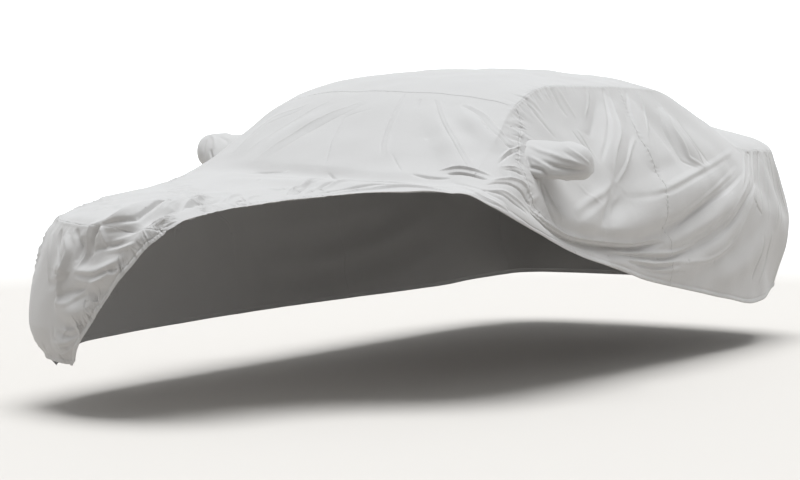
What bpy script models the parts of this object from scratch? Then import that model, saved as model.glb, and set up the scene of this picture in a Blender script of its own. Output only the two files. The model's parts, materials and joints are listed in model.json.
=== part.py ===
"""A fitted car cover of light grey cloth, in the shape in which it hangs on a saloon car.

The cover is ten sewn panels of one thin sheet, and it is hollow. It is drawn back from the car's left front wheel, so
its hem climbs from the rear wheel over the door, crosses the bonnet and falls across the nose. Sizes are in metres.
X points to the car's left, Y to its tail and Z up. Places are measured from the ground midway between the axles, and
one empty then puts the origin under the roof's top, where the cover rests.
"""

import bpy
import numpy as np

# ---------------------------------------------------------------- driving sizes
SHEET = 0.002  # thickness of the cloth
GAP = 0.0003  # between two panels at a seam
ROOF_REST = (0.0, 0.40, 1.471)  # where the roof carries the cover

ACROSS = 16  # cells across the roof, and along the tail seam
BONNET_ROWS = 26  # cells along the cover: nose to windscreen pillar seam
FRONT_ROWS = 18  # pillar seam to door seam
REAR_ROWS = 18  # door seam to rear corner
DOWN = 15  # cells down every side, nose and tail
SAMPLES = 60  # close points along a line, from which its cells are spaced
ROUNDS = 12  # of the searches for a place on the side

# ---------------------------------------------------------------- the car's form under the cloth
# One row for each station round the left half of the cover, from nose to tail: the widest plan outline (x, y), then how
# far the seam, the shoulder, the waist and the lower edge lie inside that outline, and how high each of them is.
SECTIONS = {
    "columns": (
        "x", "y", "seam_in", "seam_z", "upper_in", "upper_z", "waist_in", "waist_z", "flank_z", "low_in", "low_z",
    ),
    "rows": (
        (0.000, -2.375, 0.050, 0.822, 0.025, 0.775, 0.012, 0.690, 0.380, 0.055, 0.17),
        (0.300, -2.355, 0.050, 0.822, 0.028, 0.775, 0.014, 0.690, 0.380, 0.055, 0.17),
        (0.560, -2.295, 0.068, 0.826, 0.045, 0.780, 0.022, 0.690, 0.380, 0.070, 0.17),
        (0.765, -2.190, 0.112, 0.834, 0.078, 0.785, 0.042, 0.690, 0.380, 0.105, 0.17),
        (0.885, -2.040, 0.150, 0.845, 0.102, 0.795, 0.052, 0.690, 0.380, 0.120, 0.17),
        (0.927, -1.800, 0.180, 0.890, 0.090, 0.855, 0.036, 0.770, 0.520, 0.040, 0.26),
        (0.940, -1.400, 0.190, 0.936, 0.088, 0.912, 0.030, 0.835, 0.620, 0.010, 0.35),
        (0.945, -1.030, 0.200, 0.985, 0.100, 0.955, 0.034, 0.870, 0.650, 0.010, 0.36),
        (0.945, -0.700, 0.240, 1.140, 0.140, 1.055, 0.056, 0.940, 0.710, 0.010, 0.37),
        (0.945, -0.400, 0.298, 1.300, 0.198, 1.170, 0.075, 0.990, 0.740, 0.010, 0.37),
        (0.945, 0.000, 0.332, 1.396, 0.238, 1.250, 0.080, 1.010, 0.740, 0.010, 0.37),
        (0.945, 0.800, 0.345, 1.386, 0.240, 1.240, 0.082, 1.020, 0.750, 0.010, 0.37),
        (0.943, 1.250, 0.340, 1.356, 0.235, 1.220, 0.084, 1.020, 0.760, 0.010, 0.37),
        (0.938, 1.600, 0.245, 1.205, 0.165, 1.120, 0.080, 0.990, 0.750, 0.012, 0.38),
        (0.930, 1.900, 0.140, 1.038, 0.105, 0.985, 0.060, 0.890, 0.700, 0.020, 0.39),
        (0.900, 2.280, 0.100, 1.020, 0.065, 0.920, 0.038, 0.800, 0.630, 0.085, 0.28),
        (0.835, 2.410, 0.100, 1.022, 0.065, 0.920, 0.038, 0.800, 0.630, 0.085, 0.28),
        (0.700, 2.490, 0.100, 1.028, 0.060, 0.925, 0.035, 0.800, 0.630, 0.075, 0.28),
        (0.400, 2.540, 0.100, 1.032, 0.055, 0.930, 0.030, 0.800, 0.630, 0.070, 0.28),
        (0.000, 2.558, 0.100, 1.032, 0.055, 0.930, 0.030, 0.800, 0.630, 0.070, 0.28),
    ),
}
NOSE_CORNER_Y, PILLAR_Y, DOOR_SEAM_Y, TAIL_CORNER_Y = -2.040, -0.380, 0.795, 2.280
LEAN_START_Y = -1.60  # in front of this no line down the side leans
LEAN_DROP = 0.25  # how far below the seam a line reaches its full lean
NOSE_FOOT_Z = 0.225  # the lowest point of the nose panel
EDGE_RUN = 0.26  # the least length that the last cells of a line across the bonnet panel cover
NOSE_BEND_Y, NOSE_BEND_RUN = -1.30, 0.70  # in front of this the lines across the top bend as the nose seam does
TAIL_BEND_Y, TAIL_BEND_RUN = 1.75, 0.50  # behind this they come to bend as the tail seam does
CROWDING = 1.25  # how much closer the roof panel's lines lie towards its side seams, as an angle

# The top of the cover, a row for each line across it: where the line ends at the seam, where it crosses the middle and
# how full it is (2 is an arch, 4 is flat with steep shoulders).
TOP = {
    "columns": ("edge_y", "mid_y", "mid_z", "fullness"),
    "rows": (
        (-2.040, -2.325, 0.822, 2.0),
        (-1.980, -2.280, 0.862, 2.2),
        (-1.880, -2.180, 0.880, 2.4),
        (-1.650, -1.920, 0.908, 2.4),
        (-1.350, -1.560, 0.942, 2.4),
        (-1.100, -1.250, 0.978, 2.4),
        (-0.960, -1.090, 1.010, 2.4),
        (-0.700, -0.820, 1.172, 2.6),
        (-0.380, -0.460, 1.376, 2.8),
        (-0.100, -0.140, 1.446, 2.8),
        (0.300, 0.290, 1.473, 2.4),
        (0.700, 0.700, 1.472, 2.4),
        (1.100, 1.120, 1.450, 2.6),
        (1.320, 1.350, 1.406, 2.8),
        (1.600, 1.660, 1.308, 3.0),
        (1.850, 1.930, 1.224, 3.4),
        (2.080, 2.170, 1.150, 5.5),
        (2.200, 2.330, 1.122, 7.0),
        (2.250, 2.430, 1.090, 7.0),
        (2.280, 2.458, 1.032, 4.0),
    ),
}

# The hem. On the bonnet it is x against y, on the sides z against y, on the nose x against z.
BONNET_HEM = {
    "columns": ("y", "x"),
    "rows": ((-2.34, 0.03), (-2.29, 0.10), (-2.16, 0.14), (-1.96, 0.15), (-1.85, 0.22), (-1.66, 0.29),
             (-1.49, 0.40), (-1.34, 0.58), (-1.21, 0.80)),
}
LEFT_HEM = {
    "columns": ("y", "z"),
    "rows": ((-1.21, 0.945), (-1.06, 0.880), (-0.88, 0.806), (-0.51, 0.674), (-0.26, 0.608), (0.14, 0.517),
             (0.38, 0.460), (0.79, 0.388), (1.41, 0.284), (1.78, 0.233), (1.90, 0.237), (2.10, 0.262), (2.45, 0.285)),
}
RIGHT_HEM = {
    "columns": ("y", "z"),
    "rows": (
        (-2.36, 0.225), (-2.20, 0.190), (-2.05, 0.180), (-1.60, 0.240), (0.00, 0.260), (1.60, 0.250), (2.45, 0.285),
    ),
}
NOSE_HEM = {
    "columns": ("z", "x"),
    "rows": ((0.20, -0.480), (0.25, -0.443), (0.30, -0.407), (0.40, -0.322), (0.51, -0.235), (0.60, -0.160),
             (0.68, -0.083), (0.75, -0.020), (0.83, 0.060)),
}

# How the two gathered seams lean: the shift along the car at each height, at the pillar seam and at the door seam.
LEAN = {
    "columns": ("z", "pillar", "door"),
    "rows": (
        (0.38, 0.030, -0.100),
        (0.52, 0.025, -0.112),
        (0.64, 0.010, -0.142),
        (0.71, -0.030, -0.205),
        (0.78, -0.160, -0.205),
        (0.84, -0.250, -0.193),
        (0.91, -0.300, -0.166),
        (1.01, -0.280, -0.165),
        (1.09, -0.260, -0.168),
        (1.16, -0.230, -0.160),
        (1.23, -0.100, -0.165),
        (1.30, 0.000, -0.170),
        (1.39, 0.000, -0.170),
    ),
}

# The main folds, a row for each: how far it reaches to either side, how high it stands (or how deep it lies), what share
# of that it keeps at its start and at its end, and the places that it runs through.
FOLDS = {
    "columns": ("name", "half_width", "height", "at_start", "at_end", "path"),
    "rows": (
        # along the left hem: the crease over the rolled band, the band itself, and the roll above the crease
        ("band crease", 0.095, -0.030, 0.2, 0.0,
         ((0.90, -0.84, 0.91), (0.93, -0.64, 0.83), (0.94, -0.48, 0.73), (0.94, -0.15, 0.66), (0.94, 0.29, 0.63),
          (0.94, 0.72, 0.61))),
        ("hem band", 0.110, 0.022, 0.3, 0.2,
         ((0.91, -1.00, 0.87), (0.93, -0.84, 0.83), (0.94, -0.47, 0.67), (0.94, -0.07, 0.57), (0.94, 0.36, 0.49))),
        ("first swag", 0.130, 0.036, 0.3, 0.0,
         ((0.93, -0.55, 0.83), (0.94, -0.36, 0.74), (0.94, 0.10, 0.71), (0.94, 0.56, 0.77), (0.93, 1.00, 0.86),
          (0.88, 1.55, 0.97))),
        ("second swag", 0.110, 0.030, 0.2, 0.0,
         ((0.94, 0.10, 0.60), (0.94, 0.64, 0.62), (0.94, 1.01, 0.68), (0.94, 1.36, 0.77), (0.86, 1.86, 0.95))),
        ("third swag", 0.110, 0.028, 0.2, 0.0,
         ((0.94, 0.30, 0.52), (0.94, 0.76, 0.50), (0.94, 1.16, 0.56), (0.94, 1.49, 0.68), (0.90, 1.84, 0.85))),
        ("sill fold", 0.120, 0.022, 0.1, 0.3,
         ((0.94, 1.00, 0.40), (0.94, 1.40, 0.42), (0.94, 1.75, 0.50), (0.92, 2.05, 0.66))),
        ("hollow under first swag", 0.085, -0.018, 0.0, 0.0,
         ((0.94, 0.20, 0.65), (0.94, 0.70, 0.70), (0.94, 1.15, 0.80), (0.89, 1.60, 0.92))),
        ("hollow under second swag", 0.085, -0.016, 0.0, 0.0,
         ((0.94, 0.40, 0.56), (0.94, 0.90, 0.60), (0.94, 1.35, 0.68), (0.90, 1.75, 0.83))),
        # down the left side from the roof seam
        ("bright column", 0.120, 0.030, 0.0, 0.0, ((0.64, 0.62, 1.34), (0.76, 0.42, 1.15), (0.89, 0.20, 0.96))),
        ("hollow beside it", 0.110, -0.024, 0.0, 0.0, ((0.64, 0.40, 1.34), (0.72, 0.28, 1.20), (0.84, 0.06, 1.04))),
        ("second column", 0.110, 0.024, 0.0, 0.0, ((0.65, 0.86, 1.32), (0.76, 0.72, 1.16), (0.88, 0.60, 0.97))),
        ("tail pillar fold", 0.120, 0.030, 0.0, 0.1, ((0.68, 1.10, 1.28), (0.78, 1.12, 1.12), (0.89, 1.18, 0.96))),
        ("tail pillar hollow", 0.110, -0.024, 0.0, 0.0,
         ((0.66, 0.92, 1.30), (0.78, 0.96, 1.12), (0.89, 1.02, 0.97))),
        ("window swag", 0.110, 0.028, 0.0, 0.0, ((0.89, 1.16, 0.95), (0.92, 0.62, 0.88), (0.93, 0.26, 0.83))),
        ("door fold", 0.100, 0.026, 0.0, 0.0, ((0.90, 0.14, 0.92), (0.93, -0.10, 0.84), (0.94, -0.33, 0.78))),
        ("second door fold", 0.095, -0.022, 0.0, 0.0,
         ((0.91, 0.24, 0.90), (0.93, 0.06, 0.82), (0.94, -0.08, 0.74))),
        ("rear corner fold", 0.100, 0.022, 0.2, 0.0, ((0.84, 2.05, 0.99), (0.90, 2.06, 0.80), (0.91, 2.02, 0.60))),
        ("rear corner hollow", 0.090, -0.020, 0.2, 0.0,
         ((0.86, 2.22, 0.97), (0.89, 2.24, 0.78), (0.90, 2.20, 0.60))),
        # windscreen and the foot of it
        ("windscreen fold", 0.100, 0.018, 0.0, 0.0,
         ((0.30, -0.56, 1.32), (0.50, -0.76, 1.20), (0.72, -1.00, 1.05))),
        ("pillar fold", 0.090, 0.018, 0.0, 0.3, ((0.42, -0.52, 1.32), (0.58, -0.62, 1.24), (0.72, -0.66, 1.13))),
        ("right windscreen fold", 0.100, 0.016, 0.0, 0.0,
         ((-0.11, -0.57, 1.33), (-0.36, -0.80, 1.18), (-0.42, -1.02, 1.04))),
        ("far windscreen fold", 0.100, 0.016, 0.0, 0.0,
         ((-0.46, -0.44, 1.34), (-0.54, -0.68, 1.21), (-0.60, -0.92, 1.08))),
        ("scuttle crease", 0.085, -0.022, 0.2, 0.4,
         ((-0.62, -0.98, 1.02), (-0.20, -1.06, 1.02), (0.30, -1.10, 1.01), (0.62, -1.08, 1.02), (0.84, -0.98, 0.98))),
        ("roll before the scuttle", 0.085, 0.018, 0.0, 0.2,
         ((-0.50, -1.20, 0.99), (0.05, -1.28, 0.98), (0.45, -1.26, 0.98), (0.80, -1.14, 0.97))),
        # bonnet and nose
        ("overhanging fold", 0.085, 0.042, 0.2, 0.0,
         ((-0.33, -2.33, 0.80), (-0.25, -2.30, 0.84), (-0.17, -2.20, 0.88), (-0.13, -2.00, 0.91),
          (-0.08, -1.72, 0.93))),
        ("hollow under it", 0.075, -0.034, 0.2, 0.0,
         ((-0.27, -2.34, 0.74), (-0.15, -2.33, 0.81), (-0.06, -2.22, 0.88), (-0.02, -2.02, 0.91),
          (0.02, -1.78, 0.93))),
        ("hem fold", 0.065, 0.022, 0.2, 0.2,
         ((-0.16, -2.35, 0.74), (-0.02, -2.32, 0.82), (0.05, -2.20, 0.88), (0.07, -2.00, 0.91), (0.14, -1.80, 0.92))),
        ("nose upright hollow", 0.075, -0.026, 0.2, 0.0,
         ((-0.42, -2.31, 0.79), (-0.38, -2.33, 0.72), (-0.36, -2.34, 0.64))),
        ("nose upright fold", 0.080, 0.020, 0.2, 0.0,
         ((-0.52, -2.28, 0.80), (-0.51, -2.30, 0.68), (-0.55, -2.29, 0.54))),
        ("upper nose fold", 0.075, 0.028, 0.0, 0.2,
         ((-0.46, -2.31, 0.62), (-0.32, -2.34, 0.61), (-0.16, -2.36, 0.66))),
        ("lower nose fold", 0.075, 0.026, 0.0, 0.2,
         ((-0.56, -2.29, 0.48), (-0.42, -2.33, 0.46), (-0.28, -2.35, 0.51))),
        ("foot fold", 0.070, 0.018, 0.0, 0.2, ((-0.60, -2.27, 0.34), (-0.52, -2.30, 0.31), (-0.42, -2.33, 0.34))),
        # the hidden side and the tail, finished plainly
        ("right swag", 0.130, 0.028, 0.0, 0.0,
         ((-0.94, -0.60, 0.62), (-0.94, 0.20, 0.56), (-0.94, 1.00, 0.62), (-0.90, 1.70, 0.84))),
        ("right lower swag", 0.120, 0.022, 0.0, 0.0,
         ((-0.94, -0.40, 0.44), (-0.94, 0.40, 0.40), (-0.94, 1.20, 0.46), (-0.92, 1.90, 0.62))),
        ("right column", 0.120, 0.022, 0.0, 0.0, ((-0.64, 0.50, 1.34), (-0.76, 0.40, 1.15), (-0.89, 0.30, 0.95))),
        ("tail swag", 0.100, 0.024, 0.0, 0.0,
         ((0.72, 2.50, 0.86), (0.30, 2.54, 0.70), (-0.30, 2.54, 0.68), (-0.72, 2.50, 0.84))),
        ("tail lower swag", 0.090, 0.018, 0.0, 0.0, ((0.60, 2.52, 0.56), (0.10, 2.55, 0.46), (-0.50, 2.53, 0.52))),
    ),
}

# A mirror pocket on the left side, root to tip: the middle of each oval, its half sizes, and how far it slants back as
# it rises. The root follows the panel that it is sewn to.
POCKET = {
    "columns": ("x", "y", "z", "half_depth", "half_height", "slant"),
    "rows": (
        (0.800, -0.500, 1.075, 0.066, 0.082, 0.90),
        (0.900, -0.500, 1.075, 0.066, 0.082, 0.90),
        (0.950, -0.480, 1.080, 0.078, 0.086, 0.60),
        (1.000, -0.462, 1.080, 0.080, 0.084, 0.30),
        (1.045, -0.452, 1.078, 0.072, 0.076, 0.10),
        (1.070, -0.446, 1.077, 0.052, 0.056, 0.00),
        (1.082, -0.444, 1.076, 0.026, 0.030, 0.00),
    ),
}
POCKET_TIP = (1.085, -0.443, 1.076)
LEFT_DROOP = 0.030  # how far the left pocket's tip hangs below the right one's
POCKET_SIDES = 14
POCKET_TURN_IN = 0.008  # how far its raw edge reaches inside the panel
POCKET_HOLE_X = (0.62, 0.98)  # from well inside the panel to well outside it


def column(table, name):
    """One named column of a table."""
    place = table["columns"].index(name)
    return np.array([row[place] for row in table["rows"]], float)


def between(knots, values, at, level_ends=True):
    """A smooth curve through a table's values that never overshoots them, read at one place or at many."""
    at = np.asarray(at, float)
    shape = (len(knots),) + at.shape
    spread = (-1,) + (1,) * at.ndim
    knots, values = (
        np.broadcast_to(a if a.ndim > 1 else a.reshape(spread), shape) for a in (knots, values)
    )
    at = np.clip(at, knots[0], knots[-1])
    rise = np.diff(values, axis=0) / np.diff(knots, axis=0)
    turns = rise[1:] * rise[:-1] <= 0
    total = np.where(turns, 1.0, rise[1:] + rise[:-1])
    slope = np.concatenate([rise[:1], np.where(turns, 0.0, 2 * rise[1:] * rise[:-1] / total), rise[-1:]])
    if level_ends:
        slope[[0, -1]] = 0.0
    low = (at >= knots[1:-1]).sum(axis=0)[None]
    start, end = (np.take_along_axis(knots, low + more, axis=0)[0] for more in (0, 1))
    first, last = (np.take_along_axis(values, low + more, axis=0)[0] for more in (0, 1))
    leaving, arriving = (np.take_along_axis(slope, low + more, axis=0)[0] for more in (0, 1))
    u = (at - start) / (end - start)
    ease = u * u * (3 - 2 * u)
    hold = u * (1 - u) ** 2 * leaving - u * u * (1 - u) * arriving
    return first * (1 - ease) + last * ease + (end - start) * hold


def read(table, knots, names, at):
    """Smooth values of some of a table's columns, against one of them."""
    return [between(column(table, knots), column(table, name), at) for name in names]


def resample(points, cells):
    """Points at equal steps along a polyline, both its ends included."""
    run = np.concatenate([[0.0], np.cumsum(np.linalg.norm(np.diff(points, axis=0), axis=1))])
    steps = np.linspace(0.0, run[-1], cells + 1)
    return np.stack([np.interp(steps, run, points[:, axis]) for axis in range(3)], axis=1)


# ---------------------------------------------------------------- the smooth form, before its folds
OUTLINE_X, OUTLINE_Y = column(SECTIONS, "x"), column(SECTIONS, "y")
STATION = np.concatenate([[0.0], np.cumsum(np.hypot(np.diff(OUTLINE_X), np.diff(OUTLINE_Y)))])
TAIL_MIDDLE = STATION[-1]
LEVELS = ("low", "flank", "waist", "upper", "seam")
OUTLINE_STEP = 0.03  # to either side of a station, over which the outline's direction is read


def station_at(y):
    """How far round the left half of the plan outline the place at y is, from the nose."""
    return np.interp(y, OUTLINE_Y, STATION)


NOSE_CORNER, PILLAR, DOOR_SEAM, TAIL_CORNER = (
    station_at(y) for y in (NOSE_CORNER_Y, PILLAR_Y, DOOR_SEAM_Y, TAIL_CORNER_Y)
)


def plan(station):
    """The plan outline of the left half, as x and y."""
    return between(STATION, OUTLINE_X, station, level_ends=False), between(STATION, OUTLINE_Y, station)


def lean(station, z):
    """How far along the car a line down the side has moved at height z, so that it follows the gathered seams."""
    y = plan(station)[1]
    pillar, door = read(LEAN, "z", ("pillar", "door"), z)
    before_pillar = np.clip((y - LEAN_START_Y) / (PILLAR_Y - LEAN_START_Y), 0.0, 1.0)
    to_door = np.clip((y - PILLAR_Y) / (DOOR_SEAM_Y - PILLAR_Y), 0.0, 1.0)
    to_tail = np.clip((y - DOOR_SEAM_Y) / (TAIL_CORNER_Y - DOOR_SEAM_Y), 0.0, 1.0)
    below_seam = np.clip((seam_height(station) - z) / LEAN_DROP, 0.0, 1.0)
    return below_seam * (before_pillar * (1 - to_door) * pillar + to_door * (1 - to_tail) * door)


def seam_height(station):
    """How high the seam between the top and the side runs."""
    return between(STATION, column(SECTIONS, "seam_z"), np.abs(station))


def side(station, z):
    """Points on the smooth side of the cover, by station and height. The car's right side has negative stations."""
    station, z = np.broadcast_arrays(np.asarray(station, float), np.asarray(z, float))
    moved = np.abs(station) + lean(np.abs(station), z)
    heights = np.array([between(STATION, column(SECTIONS, level + "_z"), moved) for level in LEVELS])
    insets = np.array([
        np.zeros(moved.shape) if level == "flank" else between(STATION, column(SECTIONS, level + "_in"), moved)
        for level in LEVELS
    ])
    inset = between(heights, insets, z, level_ends=False)
    x, y = plan(moved)
    (x1, y1), (x0, y0) = (plan(np.clip(moved + step, 0.0, TAIL_MIDDLE)) for step in (OUTLINE_STEP, -OUTLINE_STEP))
    length = np.hypot(x1 - x0, y1 - y0)
    inward_x, inward_y = (y0 - y1) / length, (x1 - x0) / length
    return np.stack([np.sign(station) * (x + inward_x * inset), y + inward_y * inset, z], axis=-1)


def seam_arc(start, end):
    """The seam round the nose or the tail: its stations and its points, from the middle outwards."""
    stations = np.linspace(start, end, SAMPLES)
    arc = side(stations, seam_height(stations))
    order = np.argsort(arc[:, 0])
    return stations[order], arc[order]


def corner_shape(start, end):
    """How the seam bends round the nose or the tail: its run in y against its share of the half width."""
    arc = seam_arc(start, end)[1]
    return arc[:, 0] / arc[-1, 0], (arc[:, 1] - arc[0, 1]) / (arc[-1, 1] - arc[0, 1])


NEAR_MIDDLE = 0.002
NOSE_SHAPE = corner_shape(NEAR_MIDDLE, NOSE_CORNER)
TAIL_SHAPE = corner_shape(TAIL_CORNER, TAIL_MIDDLE - NEAR_MIDDLE)


def top(station, shares):
    """Lines across the smooth top, from the right seam (share -1) to the left one (share 1), one for each station."""
    station = np.asarray(station, float)[:, None]
    edge_y = plan(station)[1]
    mid_y, mid_z, fullness = read(TOP, "edge_y", ("mid_y", "mid_z", "fullness"), edge_y)
    end = side(station, seam_height(station))
    reach = np.abs(shares)[None]
    nose = np.clip((NOSE_BEND_Y - edge_y) / NOSE_BEND_RUN, 0.0, 1.0)
    tail = np.clip((edge_y - TAIL_BEND_Y) / TAIL_BEND_RUN, 0.0, 1.0)
    bend = nose * np.interp(reach, *NOSE_SHAPE) + tail * np.interp(reach, *TAIL_SHAPE) + (1 - nose - tail) * reach**2
    return np.stack([
        shares[None] * end[..., 0],
        mid_y + (end[..., 1] - mid_y) * bend,
        mid_z + (end[..., 2] - mid_z) * reach**fullness,
    ], axis=-1)


# ---------------------------------------------------------------- the panels' grids
def hem_height(table, stations):
    """The z at which a line down the side meets the hem."""
    z = column(table, "z").mean() * np.ones(np.shape(stations))
    for _ in range(ROUNDS):
        z = read(table, "y", ("z",), side(stations, z)[..., 1])[0]
    return z


def side_lines(stations, table):
    """Close points down the side, from the seam to the hem, one line for each station."""
    stations = np.asarray(stations, float)
    down = np.linspace(0.0, 1.0, SAMPLES)[None]
    seam, hem = seam_height(stations)[:, None], hem_height(table, stations)[:, None]
    return side(stations[:, None], seam + (hem - seam) * down)


def bonnet_grid():
    """The bonnet panel: lines from the right seam to the hem, over the left wing where the panel reaches it."""
    stations = np.linspace(NOSE_CORNER, PILLAR, BONNET_ROWS + 1)
    tops = top(stations, np.linspace(-1.0, 1.0, 10 * SAMPLES))
    wings = side_lines(stations, LEFT_HEM)
    hem_x = between(column(BONNET_HEM, "y"), column(BONNET_HEM, "x"), tops[..., 1], level_ends=False)
    uncovered = (tops[..., 1] < BONNET_HEM["rows"][-1][0]) & (tops[..., 0] > hem_x)
    grid = []
    for line, wing, bare in zip(tops, wings, uncovered):
        over = int(np.argmax(bare)) - 1 if bare.any() else len(line) - 1
        line = line[: over + 1] if bare.any() else np.concatenate([line, wing[1:]])
        run = np.concatenate([[0.0], np.cumsum(np.linalg.norm(np.diff(line, axis=0), axis=1))])
        split = min(over, int(np.searchsorted(run, run[-1] - EDGE_RUN)))
        grid.append(np.concatenate([resample(line[: split + 1], ACROSS), resample(line[split:], DOWN)[1:]]))
    return np.array(grid)


def seam_stations(x, start, end):
    """The stations at which the seam round the nose or the tail has these x."""
    stations, arc = seam_arc(start, end)
    return np.where(x < 0, -1.0, 1.0) * np.interp(np.abs(x), arc[:, 0], stations)


def nose_grid(bonnet):
    """The nose panel hangs from the bonnet panel's front and right edges; its lines lean with the slanting hem."""
    front = bonnet[0, :0:-1]
    tops = seam_stations(front[:, 0], NEAR_MIDDLE, NOSE_CORNER)
    share = ((tops + NOSE_CORNER) / (tops[0] + NOSE_CORNER))[:, None]
    seam = seam_height(tops)[:, None]
    z = seam + (NOSE_FOOT_Z - seam) * np.linspace(0.0, 1.0, SAMPLES)[None]
    hem = seam_stations(read(NOSE_HEM, "z", ("x",), z)[0], NEAR_MIDDLE, NOSE_CORNER)
    slanting = side(-NOSE_CORNER + share * (hem + NOSE_CORNER), z)
    straight = side_lines(-np.linspace(NOSE_CORNER, PILLAR, BONNET_ROWS + 1), RIGHT_HEM)
    grid = np.array([resample(line, DOWN)[::-1] for line in (*slanting, *straight)])
    grid[: len(front), -1] = front
    grid[len(front) :, -1] = bonnet[:, 0]
    return grid


def side_grid(hand, start, end, cells, table):
    """A side panel. Its lines run from the car's right to its left, as in all the grids."""
    lines = [resample(line, DOWN) for line in side_lines(hand * np.linspace(start, end, cells + 1), table)]
    return np.array(lines) if hand > 0 else np.array(lines)[:, ::-1]


def roof_grid(bonnet):
    """The roof panel begins on the bonnet panel's last line."""
    to_door = np.linspace(PILLAR, DOOR_SEAM, FRONT_ROWS + 1)
    to_tail = np.linspace(DOOR_SEAM, TAIL_CORNER, REAR_ROWS + 1)
    shares = np.sin(np.linspace(-CROWDING, CROWDING, ACROSS + 1)) / np.sin(CROWDING)
    grid = top(np.concatenate([to_door, to_tail[1:]]), shares)
    fade = np.linspace(1.0, 0.0, FRONT_ROWS)[:, None, None]
    grid[:FRONT_ROWS] += fade * (bonnet[-1, : ACROSS + 1] - grid[0])
    return grid


def tail_grid(roof):
    """The tail panel hangs from the roof panel's last line."""
    stations = seam_stations(roof[-1, :, 0], TAIL_CORNER, TAIL_MIDDLE - NEAR_MIDDLE)
    stations[[0, -1]] = -TAIL_CORNER, TAIL_CORNER
    right, left = stations[stations < 0], stations[stations >= 0]
    lines = [resample(line, DOWN) for line in (*side_lines(right, RIGHT_HEM), *side_lines(left, LEFT_HEM))]
    grid = np.array(lines).transpose(1, 0, 2)
    grid[0] = roof[-1]
    return grid


def smooth_grids():
    """The panels' points before the folds."""
    bonnet = bonnet_grid()
    roof = roof_grid(bonnet)
    left_front = side_grid(1, PILLAR, DOOR_SEAM, FRONT_ROWS, LEFT_HEM)
    left_front[0] = bonnet[-1, ACROSS:]
    return {
        "bonnet_panel": bonnet,
        "roof_panel": roof,
        "nose_panel": nose_grid(bonnet),
        "left_front_side": left_front,
        "left_rear_side": side_grid(1, DOOR_SEAM, TAIL_CORNER, REAR_ROWS, LEFT_HEM),
        "right_front_side": side_grid(-1, PILLAR, DOOR_SEAM, FRONT_ROWS, RIGHT_HEM),
        "right_rear_side": side_grid(-1, DOOR_SEAM, TAIL_CORNER, REAR_ROWS, RIGHT_HEM),
        "tail_panel": tail_grid(roof),
    }


# ---------------------------------------------------------------- folds
FOLD_POINTS = 33  # along the smooth line of a fold


def outward(grids):
    """The outward direction at every point, averaged over all the panels, so that two panels agree at their seam."""
    points = np.concatenate([grid.reshape(-1, 3) for grid in grids.values()])
    _, shared = np.unique(np.round(points, 5), axis=0, return_inverse=True)
    shared = shared.reshape(-1)
    total = np.zeros((shared.max() + 1, 3))
    first = 0
    for grid in grids.values():
        rows, lines = grid.shape[:2]
        facing = np.cross(grid[:-1, 1:] - grid[1:, :-1], grid[1:, 1:] - grid[:-1, :-1])
        number = shared[first : first + rows * lines].reshape(rows, lines)
        for corner in (number[:-1, :-1], number[:-1, 1:], number[1:, :-1], number[1:, 1:]):
            np.add.at(total, corner, facing)
        first += rows * lines
    total /= np.linalg.norm(total, axis=1, keepdims=True)
    directions, first = {}, 0
    for name, grid in grids.items():
        rows, lines = grid.shape[:2]
        directions[name] = total[shared[first : first + rows * lines]].reshape(rows, lines, 3)
        first += rows * lines
    return directions


def raised(points, directions):
    """How far the folds lift each point of the cloth."""
    lift = np.zeros(points.shape[:-1])
    for name, half_width, height, at_start, at_end, path in FOLDS["rows"]:
        path = np.array(path)
        knots = np.linspace(0.0, 1.0, len(path))
        along = np.linspace(0.0, 1.0, FOLD_POINTS)
        curve = np.stack([between(knots, path[:, axis], along, level_ends=False) for axis in range(3)], axis=1)
        low, high = curve.min(axis=0) - 2 * half_width, curve.max(axis=0) + 2 * half_width
        near = ((points > low) & (points < high)).all(axis=-1)
        if not near.any():
            continue
        apart = points[near][:, None] - curve[None]
        apart -= (apart * directions[near][:, None]).sum(axis=-1, keepdims=True) * directions[near][:, None]
        distance = np.linalg.norm(apart, axis=-1)
        nearest = distance.argmin(axis=1)
        across = np.clip(distance.min(axis=1) / half_width, 0.0, 1.0)
        share = along[nearest]
        fade = np.where(share < 0.5, at_start, at_end)
        strength = fade + (1 - fade) * np.sin(np.pi * share)
        lift[near] += height * strength * (0.5 + 0.5 * np.cos(np.pi * across))
    return lift


def folded_grids():
    smooth = smooth_grids()
    directions = outward(smooth)
    return {
        name: grid + directions[name] * raised(grid, directions[name])[..., None] for name, grid in smooth.items()
    }


# ---------------------------------------------------------------- making the objects
SHARP_ANGLE = 0.9
CLOTH_COLOUR = (0.62, 0.61, 0.60, 1.0)
CLOTH_ROUGHNESS = 0.85
RIM_ORDER = np.array([1.0, 1.7, -2.3])  # no seam runs level along it: a rim picks its diagonals by it


def drawn_back(skin):
    """A skin with its border pulled in by half the gap between two panels."""
    skin = skin.copy()
    for rows in (skin, skin.transpose(1, 0, 2)):
        for edge, inner in ((0, 1), (-1, -2)):
            step = rows[inner] - rows[edge]
            rows[edge] += 0.5 * GAP * step / np.linalg.norm(step, axis=-1, keepdims=True)
    return skin


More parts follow.
